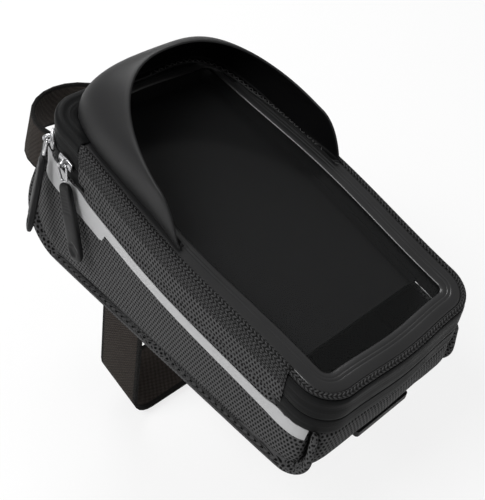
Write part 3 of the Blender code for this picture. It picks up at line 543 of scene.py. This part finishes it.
def paddedPiece(name, nodeName, body, pad):
    # A sewn pad: the frame's solid, remeshed, swelled as cloth over foam, and held to its cap
    bm = bmesh.new()
    bm.from_mesh(nodes[nodeName].data)
    bmesh.ops.remove_doubles(bm, verts=bm.verts, dist=1e-5)
    bmesh.ops.recalc_face_normals(bm, faces=bm.faces)
    piece = newPiece(name, bm, None, [finishes["airMesh"]])
    remesh = piece.modifiers.new("even cloth", "REMESH")
    remesh.mode = "VOXEL"
    remesh.voxel_size = pad["voxel"]
    finishedMesh(piece)
    rest = [vert.co.copy() for vert in piece.data.vertices]
    outward = [vert.normal.copy() for vert in piece.data.vertices]
    cloth = piece.modifiers.new("swell", "CLOTH")
    cloth.settings.quality = pad["quality"]
    cloth.settings.use_pressure = True
    cloth.settings.uniform_pressure_force = pad["pressure"]
    cloth.settings.effector_weights.gravity = 0.0
    for number in range(1, pad["frames"] + 1):
        bpy.context.scene.frame_set(number)
    graph = bpy.context.evaluated_depsgraph_get()
    swelled = piece.evaluated_get(graph).to_mesh()
    moved = [vert.co.copy() for vert in swelled.vertices]
    piece.evaluated_get(graph).to_mesh_clear()
    piece.modifiers.clear()
    bpy.context.scene.frame_set(1)
    rear, front = pad["heart"]
    for vert, start, end, out in zip(piece.data.vertices, rest, moved, outward):
        heart = Vector((0.0, min(front, max(rear, start.y)), lid["planeHeight"] / 2))
        cap = pad["cap"] if out.dot(start - heart) > 0 else pad["innerCap"]
        if start.z < pad["baseHeight"]:
            cap = min(cap, pad["innerCap"])
        step = end - start
        if step.length > cap:
            step *= cap / step.length
        vert.co = start + step
    bm = bmesh.new()
    bm.from_mesh(piece.data)
    everyWay = {"use_axis_x": True, "use_axis_y": True, "use_axis_z": True}
    for _ in range(pad["smooths"]):
        bmesh.ops.smooth_vert(bm, verts=bm.verts, factor=0.5, **everyWay)
    bm.to_mesh(piece.data)
    bm.free()
    piece.data.shade_smooth()
    layCloth(piece.data)
    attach(piece, body)
    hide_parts(nodeName)
    return piece


# Tub: padded panels

pad = {
    "voxel": 2.0 * mm, "pressure": 4.0, "quality": 5, "frames": 20, "smooths": 2, "fill": 0.6,
    "cap": 1.1 * mm, "innerCap": 0.2 * mm, "baseHeight": 4.5 * mm, "heart": (-60.0 * mm, 70.0 * mm),
}
endPad = {**pad, "voxel": 2.4 * mm, "cap": 0.5 * mm}
sidePads = {}
for side in ("left", "right"):
    sidePads[side] = paddedPiece(f"sidePad.{side}", f"side_panel_{side}", "tub", pad)
print("side pads swelled")
paddedPiece("gussetPad", "gusset", "tub", endPad)
print("gusset swelled")


# Tub: piping on the seams, a roll of mesh over a cord

for side in ("left", "right"):
    bm = copiedNode(f"panel_piping_{side}")
    seamRoll = newPiece(f"seamRoll.{side}", bm, "tub", [finishes["airMesh"]])
    layCloth(seamRoll.data)
    subdivided(seamRoll, 2)
    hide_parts(f"panel_piping_{side}")
print("seam rolls laid")


# Reflective strips, laid on the swelled panels: a narrow run that steps out to a wide front field

strip = {
    "narrow": 5.5 * mm, "wide": 11.0 * mm, "slope": 0.185, "step": (38.0 * mm, 40.5 * mm),
    "ends": 1.6 * mm, "lift": 0.5 * mm, "sink": 0.12 * mm, "thickness": 0.3 * mm, "pace": 2.0 * mm,
    "rows": 6, "evenings": 4, "from": 200.0 * mm, "sharp": math.radians(50),
}


def stripColumn(surface, sign, y, top, before):
    # Points down the strip at y, on the panel's outer face
    rise = min(1.0, max(0.0, (y - strip["step"][0]) / (strip["step"][1] - strip["step"][0])))
    depth = strip["narrow"] + (strip["wide"] - strip["narrow"]) * rise
    column = []
    hits = []
    for k in range(strip["rows"]):
        place = Vector((sign * strip["from"], y, top - depth * k / (strip["rows"] - 1)))
        column.append(place)
        hit = surface.ray_cast(place, Vector((-sign, 0.0, 0.0)))[0]
        if hit:
            hits.append((k, hit.x + sign * strip["lift"]))
    for k, place in enumerate(column):
        place.x = min(hits, key=lambda found: abs(found[0] - k))[1] if hits else before[k].x
    return column


def onPanel(station, row, _):
    return station[1][round(row)]


for side in ("left", "right"):
    sign = -1 if side == "left" else 1
    low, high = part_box(f"reflective_strip_{side}")
    surface = BVHTree.FromPolygons(
        [vert.co for vert in sidePads[side].data.vertices],
        [face.vertices for face in sidePads[side].data.polygons],
    )
    count = round((high.y - low.y) / strip["pace"])
    columns = []
    for i in range(count + 1):
        y = high.y - strip["ends"] - (high.y - low.y - 2 * strip["ends"]) * i / count
        before = columns[-1] if columns else [Vector((sign * high.x, 0.0, 0.0))] * strip["rows"]
        columns.append(stripColumn(surface, sign, y, high.z - (high.y - y) * strip["slope"], before))
    laid = [[place.x for place in column] for column in columns]
    for _ in range(strip["evenings"]):
        triples = [zip(*columns[i - 1:i + 2]) for i in range(1, count)]
        evened = [[(a.x + 2 * b.x + c.x) / 4 for a, b, c in triple] for triple in triples]
        for column, row in zip(columns[1:-1], evened):
            for place, x in zip(column, row):
                place.x = x
    # Nowhere sunk into the panel
    for column, row in zip(columns, laid):
        for place, x in zip(column, row):
            place.x = sign * max(sign * place.x, sign * x - strip["sink"])
    stations = [(Vector((0.0, column[0].y)), column) for column in columns]
    bm = runAlong(stations, [(float(k), 0.0) for k in range(strip["rows"])], False, False, onPanel)
    if sum(face.normal.x for face in bm.faces) * sign < 0:
        bmesh.ops.reverse_faces(bm, faces=bm.faces)
    tape = newPiece(f"reflectiveStrip.{side}", bm, None, [finishes["reflective"]])
    thickened(tape, strip["thickness"])
    finishedMesh(tape)
    tape.data.shade_smooth()
    tape.data.set_sharp_from_angle(angle=strip["sharp"])
    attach(tape, "tub")
    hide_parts(f"reflective_strip_{side}")
print("strips laid")


# Zip bands: smooth coated skins over the frame's tapes and their teeth

band = {"thickness": 0.3 * mm, "lip": 0.16 * mm}
zipLine = -lid["zipDrop"]
upperProfile = [
    (0.3 * mm, zipLine + band["lip"]),
    (-0.12 * mm, zipLine + band["lip"] + 0.05 * mm),
    (-0.34 * mm, zipLine + 0.6 * mm),
    (-0.44 * mm, zipLine + 1.6 * mm),
    (-0.42 * mm, zipLine + 3.0 * mm),
    (-0.46 * mm, zipLine + 4.4 * mm),
    (-0.36 * mm, zipLine + 5.8 * mm),
    (-0.34 * mm, zipLine + 7.2 * mm),
    (-0.36 * mm, zipLine + 8.6 * mm),
    (-0.20 * mm, zipLine + 10.0 * mm),
    (0.30 * mm, zipLine + 10.9 * mm),
]
lowerProfile = [
    (0.1 * mm, -lid["bandBottom"] - 0.7 * mm),
    (-0.30 * mm, -lid["bandBottom"] - 0.4 * mm),
    (-0.46 * mm, -lid["bandBottom"] + 0.5 * mm),
    (-0.42 * mm, -lid["bandBottom"] + 2.0 * mm),
    (-0.46 * mm, zipLine - 3.2 * mm),
    (-0.42 * mm, zipLine - 1.6 * mm),
    (-0.34 * mm, zipLine - 0.7 * mm),
    (-0.12 * mm, zipLine - band["lip"] - 0.05 * mm),
    (0.3 * mm, zipLine - band["lip"]),
]
track = zipStretch()
for name, profile, body, nodeName in (
    ("zipBand.upper", upperProfile, "lid", "zip_tape_upper"),
    ("zipBand.lower", lowerProfile, "tub", "zip_tape_lower"),
):
    bm = runAlong(track, profile, False, False)
    skin = newPiece(name, bm, None, [finishes["coated"]])
    thickened(skin, band["thickness"])
    subdivided(skin, 1)
    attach(skin, body)
    nodes[nodeName].data.materials.clear()
    nodes[nodeName].data.materials.append(finishes["coated"])
print("zip bands drawn")


# Side fabric across the hinge: from the panel up, and over the edge of the lid

roll = {"radius": 1.2 * mm, "inset": 1.35 * mm, "height": 0.35 * mm, "sides": 14, "coatedFrom": 60.0 * mm}
noseLap = 2.0 * mm
sideFabric = {
    "foot": -17.0 * mm, "footInset": 0.5 * mm, "top": -0.6 * mm, "rows": 14, "stand": -0.85 * mm,
    "knitFrom": -6.6 * mm, "overRoll": 1.55 * mm, "overRows": 7, "overStart": 6, "overStep": 18,
    "fullness": 0.35 * mm, "thickness": 0.3 * mm, "hingeOut": 4.3 * mm, "bend": 2.5 * mm,
}
hingeProfile = [(sideFabric["footInset"], sideFabric["foot"])]
for k in range(1, sideFabric["rows"] + 1):
    height = sideFabric["foot"] + (sideFabric["top"] - sideFabric["foot"]) * k / sideFabric["rows"]
    hingeProfile.append((sideFabric["stand"] * math.sin(math.pi / 2 * min(1.0, k / 2)), height))
for k in range(1, sideFabric["overRows"] + 1):
    angle = math.radians(180 - sideFabric["overStep"] * k - sideFabric["overStart"])
    inset = roll["inset"] + sideFabric["overRoll"] * math.cos(angle)
    inset -= sideFabric["fullness"] * (1 - k / sideFabric["overRows"])
    hingeProfile.append((inset, roll["height"] + sideFabric["overRoll"] * math.sin(angle)))
bm = runAlong(hingeStretch(), hingeProfile, False, False)
girth = bm.verts.layers.float["across"]
plain = sideFabric["knitFrom"] - sideFabric["foot"]
knitStart = min(vert[girth] for vert in bm.verts if vert[girth] > plain)
for face in bm.faces:
    if min(vert[girth] for vert in face.verts) >= knitStart - 1e-6:
        face.material_index = 1
sideCloth = newPiece("sideCloth", bm, None, [finishes["airMesh"], finishes["knitRoll"]])
thickened(sideCloth, sideFabric["thickness"])
finishedMesh(sideCloth)
sideCloth.data.shade_smooth()
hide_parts("lid_side_panel")
hingeX = -lid["halfWidth"] - sideFabric["hingeOut"]
bendStart = fromLid(hingeX, 0.0, zipLine - sideFabric["bend"])
bendEnd = fromLid(hingeX, 0.0, zipLine + sideFabric["bend"])
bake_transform(sideCloth, "tub", "lid", start=bendStart, end=bendEnd)
print("side fabric hung")


# Lid: mesh roll, coated shoulder, coated nose and the window's border

rollProfile = []
for i in range(roll["sides"]):
    angle = 2 * math.pi * i / roll["sides"]
    inset = roll["inset"] - roll["radius"] * math.cos(angle)
    rollProfile.append((inset, roll["height"] + roll["radius"] * math.sin(angle)))
outline = lidOutline(14, 60)
bm = runAlong(outline, rollProfile, True, True)
for face in bm.faces:
    if face.calc_center_median().y > roll["coatedFrom"]:
        face.material_index = 1
lidRoll = newPiece("lidRoll", bm, "lid", [finishes["knitRoll"], finishes["coated"]])
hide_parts("lid_piping")

shoulderProfile = [
    (0.10 * mm, -3.3 * mm),
    (-0.28 * mm, -2.9 * mm),
    (-0.20 * mm, -2.0 * mm),
    (0.6 * mm, -1.2 * mm),
    (1.4 * mm, -1.0 * mm),
]
bm = runAlong(outline, shoulderProfile, True, False)
shoulder = newPiece("lidShoulder", bm, None, [finishes["coated"]])
thickened(shoulder, band["thickness"])
subdivided(shoulder, 1)
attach(shoulder, "lid")

noseProfile = [
    (-0.42 * mm, -3.2 * mm),
    (-0.50 * mm, -1.6 * mm),
    (-0.36 * mm, 0.0),
    (0.15 * mm, 1.1 * mm),
    (1.10 * mm, 1.75 * mm),
    (2.20 * mm, 1.85 * mm),
    (3.40 * mm, 1.66 * mm),
    (4.60 * mm, 1.44 * mm),
    (6.00 * mm, 1.36 * mm),
    (7.40 * mm, 1.28 * mm),
    (8.60 * mm, 1.14 * mm),
    (9.30 * mm, 0.76 * mm),
]
half = len(outline) // 2
turned = outline[half:] + outline[:half]
noseTrack = [station for station in turned if station[0].y > roll["coatedFrom"] - noseLap]
bm = runAlong(noseTrack, noseProfile, False, False)
nose = newPiece("noseSkin", bm, None, [finishes["coated"]])
thickened(nose, band["thickness"])
subdivided(nose, 1)
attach(nose, "lid")

borderProfile = [
    (2.3 * mm, -0.9 * mm),
    (2.3 * mm, 0.3 * mm),
    (2.9 * mm, 0.85 * mm),
    (4.4 * mm, 1.02 * mm),
    (6.0 * mm, 0.98 * mm),
    (6.9 * mm, 0.86 * mm),
    (7.15 * mm, 0.50 * mm),
    (7.4 * mm, 0.82 * mm),
    (8.4 * mm, 0.74 * mm),
    (8.65 * mm, 0.36 * mm),
    (8.9 * mm, 0.66 * mm),
    (10.2 * mm, 0.34 * mm),
    (11.2 * mm, -0.05 * mm),
    (11.5 * mm, -0.45 * mm),
    (11.5 * mm, -0.88 * mm),
]
bm = runAlong(outline, borderProfile, True, True)
border = newPiece("windowFrame", bm, "lid", [finishes["border"]])
subdivided(border, 1)
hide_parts("window_border")
print("lid edge drawn")


# Visor: a moulded hood, its foot lying on the border

visor = {
    "start": 1.5 * mm, "thickness": 1.5 * mm, "steps": 96, "wallSteps": 8,
    "footInset": 4.7 * mm, "footZ": 2.2 * mm, "footWidth": 3.6 * mm, "footSquareness": 5.2,
    "taper": 0.3, "point": 0.12, "belly": 1.0 * mm, "bellyAt": 0.6,
    "edgeHalf": 46.8 * mm, "edgeFront": 68.0 * mm, "edgeRoundness": 2.3, "leastEdge": 0.2 * mm,
    "frontHeight": 29.4 * mm, "shoulderHeight": 18.4 * mm, "shoulderY": 17.0 * mm, "swell": 0.8,
    "crowding": 0.10, "heart": (0.0, 20.0 * mm, 10.0 * mm),
}


def visorEdgeHeight(y):
    if y < visor["shoulderY"]:
        rise = max(0.0, (y + visor["start"]) / (visor["shoulderY"] + visor["start"]))
        return visor["shoulderHeight"] * math.sin(math.pi / 2 * rise) ** visor["swell"]
    climb = (y - visor["shoulderY"]) / (visor["edgeFront"] - visor["shoulderY"])
    return visor["shoulderHeight"] + (visor["frontHeight"] - visor["shoulderHeight"]) * climb


def visorTurn(even, crowding=0.0):
    # Stations lie closer together towards the hood's two ends
    waves = 0.5 * math.sin(2 * math.pi * even) + crowding * math.sin(4 * math.pi * even)
    return math.pi * (even - waves / (2 * math.pi))


def squaredArc(turn, roundness, reachX, reachY):
    # A point of an oval whose corners are squarer the higher the roundness
    c, s = math.cos(turn), math.sin(turn)
    power = 2 / roundness
    return reachX * math.copysign(abs(c) ** power, c), reachY * abs(s) ** power - visor["start"]


def visorRow(turn):
    # From the foot's inner edge up the wall to the free edge, at one direction from the hood's middle
    reachX = lid["halfWidth"] + 0.5 * lid["sideBulge"] - visor["footInset"]
    reachY = lid["frontEnd"] + 0.5 * lid["endBulge"] - visor["footInset"] + visor["start"]
    foot = Vector((*squaredArc(turn, visor["footSquareness"], reachX, reachY), visor["footZ"]))
    edgeReach = visor["edgeFront"] + visor["start"]
    edge = Vector((*squaredArc(turn, visor["edgeRoundness"], visor["edgeHalf"], edgeReach), 0.0))
    edge.z = visor["footZ"] + max(visor["leastEdge"], visorEdgeHeight(edge.y) - visor["footZ"])
    out = Vector((foot.x / reachX**2, (foot.y + visor["start"]) / reachY**2, 0.0)).normalized()
    belly = foot + out * visor["belly"]
    belly.z = foot.z + (edge.z - foot.z) * visor["bellyAt"]
    narrowing = min(1.0, abs(math.sin(turn)) / visor["taper"])
    width = visor["footWidth"] * (visor["point"] + (1 - visor["point"]) * narrowing)
    row = [foot - out * width, foot - out * width * 0.5]
    for k in range(visor["wallSteps"] + 1):
        t = k / visor["wallSteps"]
        row.append(foot * (1 - t) ** 2 + belly * (2 * t * (1 - t)) + edge * t**2)
    return [fromLid(*point) for point in row]


bm = bmesh.new()
tag = bm.verts.layers.int.new("row")
firstRow = visorRow(0.0)
verts = [bm.verts.new(point) for point in firstRow]
edges = [bm.edges.new(pair) for pair in zip(verts, verts[1:])]
for k, vert in enumerate(verts):
    vert[tag] = k
for i in range(1, visor["steps"] + 1):
    row = visorRow(visorTurn(i / visor["steps"], visor["crowding"]))
    made = bmesh.ops.extrude_edge_only(bm, edges=edges)["geom"]
    fresh = [item for item in made if isinstance(item, bmesh.types.BMVert)]
    edges = [item for item in made if isinstance(item, bmesh.types.BMEdge)]
    edges = [edge for edge in edges if edge.verts[0] in fresh and edge.verts[1] in fresh]
    for vert in fresh:
        vert.co = row[vert[tag]]
bmesh.ops.recalc_face_normals(bm, faces=bm.faces)
middle = fromLid(*visor["heart"])
inward = sum(face.normal.dot(middle - face.calc_center_median()) for face in bm.faces)
if inward > 0:
    bmesh.ops.reverse_faces(bm, faces=bm.faces)
# The inner face takes the shell's finish darkened with painted shade; the rim keeps the outer finish
hood = newPiece("visorHood", bm, None, [finishes["shell"], finishes["shellInsidePaintedShade"]])
thick = thickened(hood, visor["thickness"], 0.0)
thick.material_offset = 1
thick.material_offset_rim = 0
subdivided(hood, 1)
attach(hood, "lid")
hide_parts("visor")
print("visor drawn")


# Zigzag stitches along the visor's foot, inside the hood

stitch = {
    "pitch": 1.35 * mm, "length": 1.9 * mm, "radius": 0.22 * mm, "sides": 6, "lean": math.radians(48),
    "lift": 0.85 * mm, "stations": 400,
}
bm = bmesh.new()
lidUp = Matrix.Rotation(lid["pitch"], 3, "X") @ Vector((0.0, 0.0, 1.0))
footLine = []
for i in range(stitch["stations"]):
    row = visorRow(visorTurn(i / (stitch["stations"] - 1)))
    footLine.append((row[0] + row[1]) / 2 + lidUp * stitch["lift"])
travelled = 0.0
count = 0
for here, there in zip(footLine, footLine[1:]):
    travelled += (there - here).length
    if travelled < stitch["pitch"]:
        continue
    travelled = 0.0
    count += 1
    along = (there - here).normalized()
    along = Matrix.Rotation(stitch["lean"] * (1 if count % 2 else -1), 3, lidUp) @ along
    rod = {"radius1": stitch["radius"], "radius2": stitch["radius"], "depth": stitch["length"]}
    made = bmesh.ops.create_cone(bm, segments=stitch["sides"], cap_ends=True, **rod)
    turn = Vector((0, 0, 1)).rotation_difference(along).to_matrix().to_4x4()
    bmesh.ops.transform(bm, verts=made["verts"], matrix=Matrix.Translation(here) @ turn)
newPiece("visorStitches", bm, "lid", [finishes["thread"]])
print("visor sewn")


# Sliders, wire links and grips

joints = {joint["name"]: joint for joint in frame["joints"]}


def hangingPull(letter):
    # Across, outward and downward axes of a hanging grip, its top middle and its length
    joint = joints[f"pull_{letter}_swing"]
    across = Vector(joint["axis"]).normalized()
    points = [vert.co for vert in nodes[f"pull_grip_{letter}"].data.vertices]
    middle = sum(points, Vector()) / len(points)
    down = middle - Vector(joint["pos_m"])
    down = (down - across * down.dot(across)).normalized()
    reach = [(point - middle).dot(down) for point in points]
    top = middle + down * min(reach)
    return across, across.cross(down).normalized(), down, top, max(reach) - min(reach)


pull = {
    "width": 8.6 * mm, "thick": 3.3 * mm, "wireGrowth": 0.12 * mm, "cuts": ((2, 44), (0, 7), (1, 2)),
    "crown": 0.35, "waist": 0.74, "waistTo": 0.35,
    "endFrom": 0.86, "endThin": 0.45, "endRound": 0.7,
    "startTo": 0.06, "startThin": 0.4, "startNarrow": 0.3,
    "ribs": (0.08, 0.38), "ribCount": 13, "ribHalf": 0.7, "ribDepth": 0.76,
    "recessHalf": 2.4 * mm, "recessAt": 0.84, "recessLong": 0.085, "recessDepth": 0.4,
}
plate = {"edgeFrom": 0.6, "edgeRound": 0.18 * mm}


def gripShape(place, length):
    # Share of width and of thickness that a point of the grip keeps, from its place on a plain block
    t = -place.z / length
    side = abs(place.x) / (pull["width"] / 2)
    end = max(0.0, (t - pull["endFrom"]) / (1 - pull["endFrom"]))
    start = max(0.0, (pull["startTo"] - t) / pull["startTo"])
    depth = 1 - pull["crown"] * side**3
    depth *= 1 - pull["endThin"] * end**2 - pull["startThin"] * start**2
    first, last = pull["ribs"]
    if first < t < last and side < pull["ribHalf"]:
        rib = int(round((t - first) / (last - first) * pull["ribCount"]))
        depth *= 1.0 if rib % 2 else pull["ribDepth"]
    recess = (place.x / pull["recessHalf"]) ** 2 + ((t - pull["recessAt"]) / pull["recessLong"]) ** 2
    if recess < 1.0:
        depth *= pull["recessDepth"]
    waist = pull["waist"] + (1 - pull["waist"]) * min(1.0, t / pull["waistTo"])
    breadth = waist * math.sqrt(max(0.0, 1 - pull["endRound"] * end**2))
    return breadth * (1 - pull["startNarrow"] * start**2), depth


for letter in "ab":
    bm = copiedNode(f"pull_link_{letter}")
    bm.normal_update()
    for vert in bm.verts:
        vert.co += vert.normal * pull["wireGrowth"]
    wire = newPiece(f"wireLink.{letter}", bm, f"pull_{letter}", [finishes["metal"]])
    subdivided(wire, 2)
    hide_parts(f"pull_link_{letter}")

    bm = copiedNode(f"slider_{letter}")
    corners = [edge for edge in bm.edges if edge.calc_face_angle(0.0) > plate["edgeFrom"]]
    soft = {"offset": plate["edgeRound"], "segments": 2, "profile": 0.5, "affect": "EDGES", "material": -1}
    bmesh.ops.bevel(bm, geom=corners, **soft)
    slider = newPiece(f"sliderBody.{letter}", bm, f"runner_{letter}", [finishes["metal"]])
    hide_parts(f"slider_{letter}")

    across, out, down, head, length = hangingPull(letter)
    place = Matrix((across, out, -down)).transposed().to_4x4()
    place.translation = head
    bm = bmesh.new()
    made = bmesh.ops.create_cube(bm, size=1.0)["verts"]
    bmesh.ops.scale(bm, verts=made, vec=(pull["width"], pull["thick"], length))
    bmesh.ops.translate(bm, verts=made, vec=(0, 0, -length / 2))
    for direction, cuts in pull["cuts"]:
        spans = [(edge, edge.verts[0].co - edge.verts[1].co) for edge in bm.edges]
        lines = [edge for edge, span in spans if abs(span[direction]) > 1e-5]
        bmesh.ops.subdivide_edges(bm, edges=lines, cuts=cuts, use_grid_fill=True)
    for vert in bm.verts:
        breadth, depth = gripShape(vert.co, length)
        vert.co.x *= breadth
        vert.co.y *= depth
    bmesh.ops.transform(bm, verts=bm.verts, matrix=place)
    bmesh.ops.recalc_face_normals(bm, faces=bm.faces)
    grip = newPiece(f"rubberGrip.{letter}", bm, f"pull_{letter}", [finishes["rubber"]])
    subdivided(grip, 1)
    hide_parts(f"pull_grip_{letter}")
print("sliders and pulls drawn")


# Straps: webbing with soft edges

webbingEdge = {"width": 0.45 * mm, "segments": 2, "from": math.radians(50)}
for name, nodeName in (("tubeBand", "tube_strap"), ("headBand", "head_tube_strap")):
    bm = copiedNode(nodeName)
    bm.loops.layers.uv.new("cloth")
    webbing = newPiece(name, bm, "tub", [finishes["band"]])
    edge = webbing.modifiers.new("soft edge", "BEVEL")
    edge.width = webbingEdge["width"]
    edge.segments = webbingEdge["segments"]
    edge.limit_method = "ANGLE"
    edge.angle_limit = webbingEdge["from"]
    finishedMesh(webbing)
    webbing.data.shade_smooth()
    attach(webbing, "tub")
    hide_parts(nodeName)
    layer = webbing.data.uv_layers.get("cloth")
    low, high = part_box(nodeName)
    for face in webbing.data.polygons:
        for index in face.loop_indices:
            place = webbing.data.vertices[webbing.data.loops[index].vertex_index].co
            if name == "tubeBand":
                layer.data[index].uv = ((place.x + place.z) / mm, (place.y - low.y) / mm)
            else:
                layer.data[index].uv = ((place.x + place.y) / mm, (high.z - place.z) / mm)
print("straps drawn")


# Finishes of the nodes that stay

kept = {
    "window_film": "film", "lining": "lining", "base_board": "board", "pocket_back": "lining",
    "phone_pad": "foam", "lid_rim": "lining", "seat_pad": "rubber",
    "zip_stop_front": "metal", "zip_stop_rear": "metal",
}
for nodeName, finishName in kept.items():
    nodes[nodeName].data.materials.clear()
    nodes[nodeName].data.materials.append(finishes[finishName])


# Studio: pale floor, soft lamps, the photograph's camera

studio = {
    "floor": 6.0, "clearance": 0.6 * mm, "world": 0.30, "whiteness": 0.74, "fade": (0.3, 1.5),
    "aim": (0.0, 0.0, 0.04),
}


def paleFinish():
    finish = Finish("paleFloor", 0.95, Specular_IOR_Level=0.0)
    finish.colour((0.93, 0.93, 0.93))
    x, y, _ = finish.parts(finish.placeOnPiece())
    far = finish.smooth(finish.math("SQRT", x * x + y * y), *studio["fade"])
    toCamera = finish.node("ShaderNodeLightPath", output=0)
    whiteness = toCamera * (studio["whiteness"] + far * (1.0 - studio["whiteness"]))
    white = finish.node("ShaderNodeEmission", None, {"Color": (1.0, 1.0, 1.0, 1.0), "Strength": 1.0})
    shaded = Signal(finish, finish.shader.outputs[0])
    mixed = finish.node("ShaderNodeMixShader", None, {0: whiteness, 1: shaded, 2: white})
    finish.feed(finish.tree.nodes["Material Output"].inputs["Surface"], mixed)
    return finish.material


lowest = min(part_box("tube_strap")[0].z, 0.0)
bm = bmesh.new()
bmesh.ops.create_grid(bm, x_segments=2, y_segments=2, size=studio["floor"])
bmesh.ops.translate(bm, verts=bm.verts, vec=(0, 0, lowest - studio["clearance"]))
floor = newPiece("floor", bm, None, [paleFinish()])

world = bpy.data.worlds.new("studioSky")
bpy.context.scene.world = world
world.use_nodes = True
sky = world.node_tree
background = sky.nodes["Background"]
ray = sky.nodes.new("ShaderNodeLightPath")
plain = sky.nodes.new("ShaderNodeBackground")
plain.inputs["Color"].default_value = (1.0, 1.0, 1.0, 1.0)
plain.inputs["Strength"].default_value = 1.0
background.inputs["Color"].default_value = (1.0, 1.0, 1.0, 1.0)
background.inputs["Strength"].default_value = studio["world"]
mix = sky.nodes.new("ShaderNodeMixShader")
output = sky.nodes["World Output"]
sky.links.new(ray.outputs["Is Camera Ray"], mix.inputs[0])
sky.links.new(background.outputs[0], mix.inputs[1])
sky.links.new(plain.outputs[0], mix.inputs[2])
sky.links.new(mix.outputs[0], output.inputs[0])

lamps = {
    "keyLamp": {"place": (-0.85, 0.15, 1.0), "power": 12.0, "size": 0.6},
    "fillLamp": {"place": (0.95, -0.75, 0.35), "power": 1.0, "size": 0.8},
    "backLamp": {"place": (0.35, 1.0, 0.9), "power": 9.0, "size": 0.6},
}
for name, lamp in lamps.items():
    light = bpy.data.lights.new(name, "AREA")
    light.energy = lamp["power"]
    light.size = lamp["size"]
    holder = bpy.data.objects.new(name, light)
    holder.location = lamp["place"]
    aim = Vector(studio["aim"]) - Vector(lamp["place"])
    holder.rotation_euler = aim.to_track_quat("-Z", "Y").to_euler()
    bpy.context.scene.collection.objects.link(holder)

camera = bpy.data.cameras.new("photoCamera")
viewer = bpy.data.objects.new("photoCamera", camera)
bpy.context.scene.collection.objects.link(viewer)
turn = Matrix((photoCamera["across"], photoCamera["up"], photoCamera["back"])).transposed().to_4x4()
turn.translation = photoCamera["place"]
viewer.matrix_world = turn
camera.sensor_fit = "VERTICAL"
camera.sensor_width = 36.0
camera.sensor_height = 36.0
camera.lens = photoCamera["lens"]
camera.clip_start = 0.01
bpy.context.scene.camera = viewer
bpy.context.scene.view_settings.view_transform = "Standard"
print("studio set")
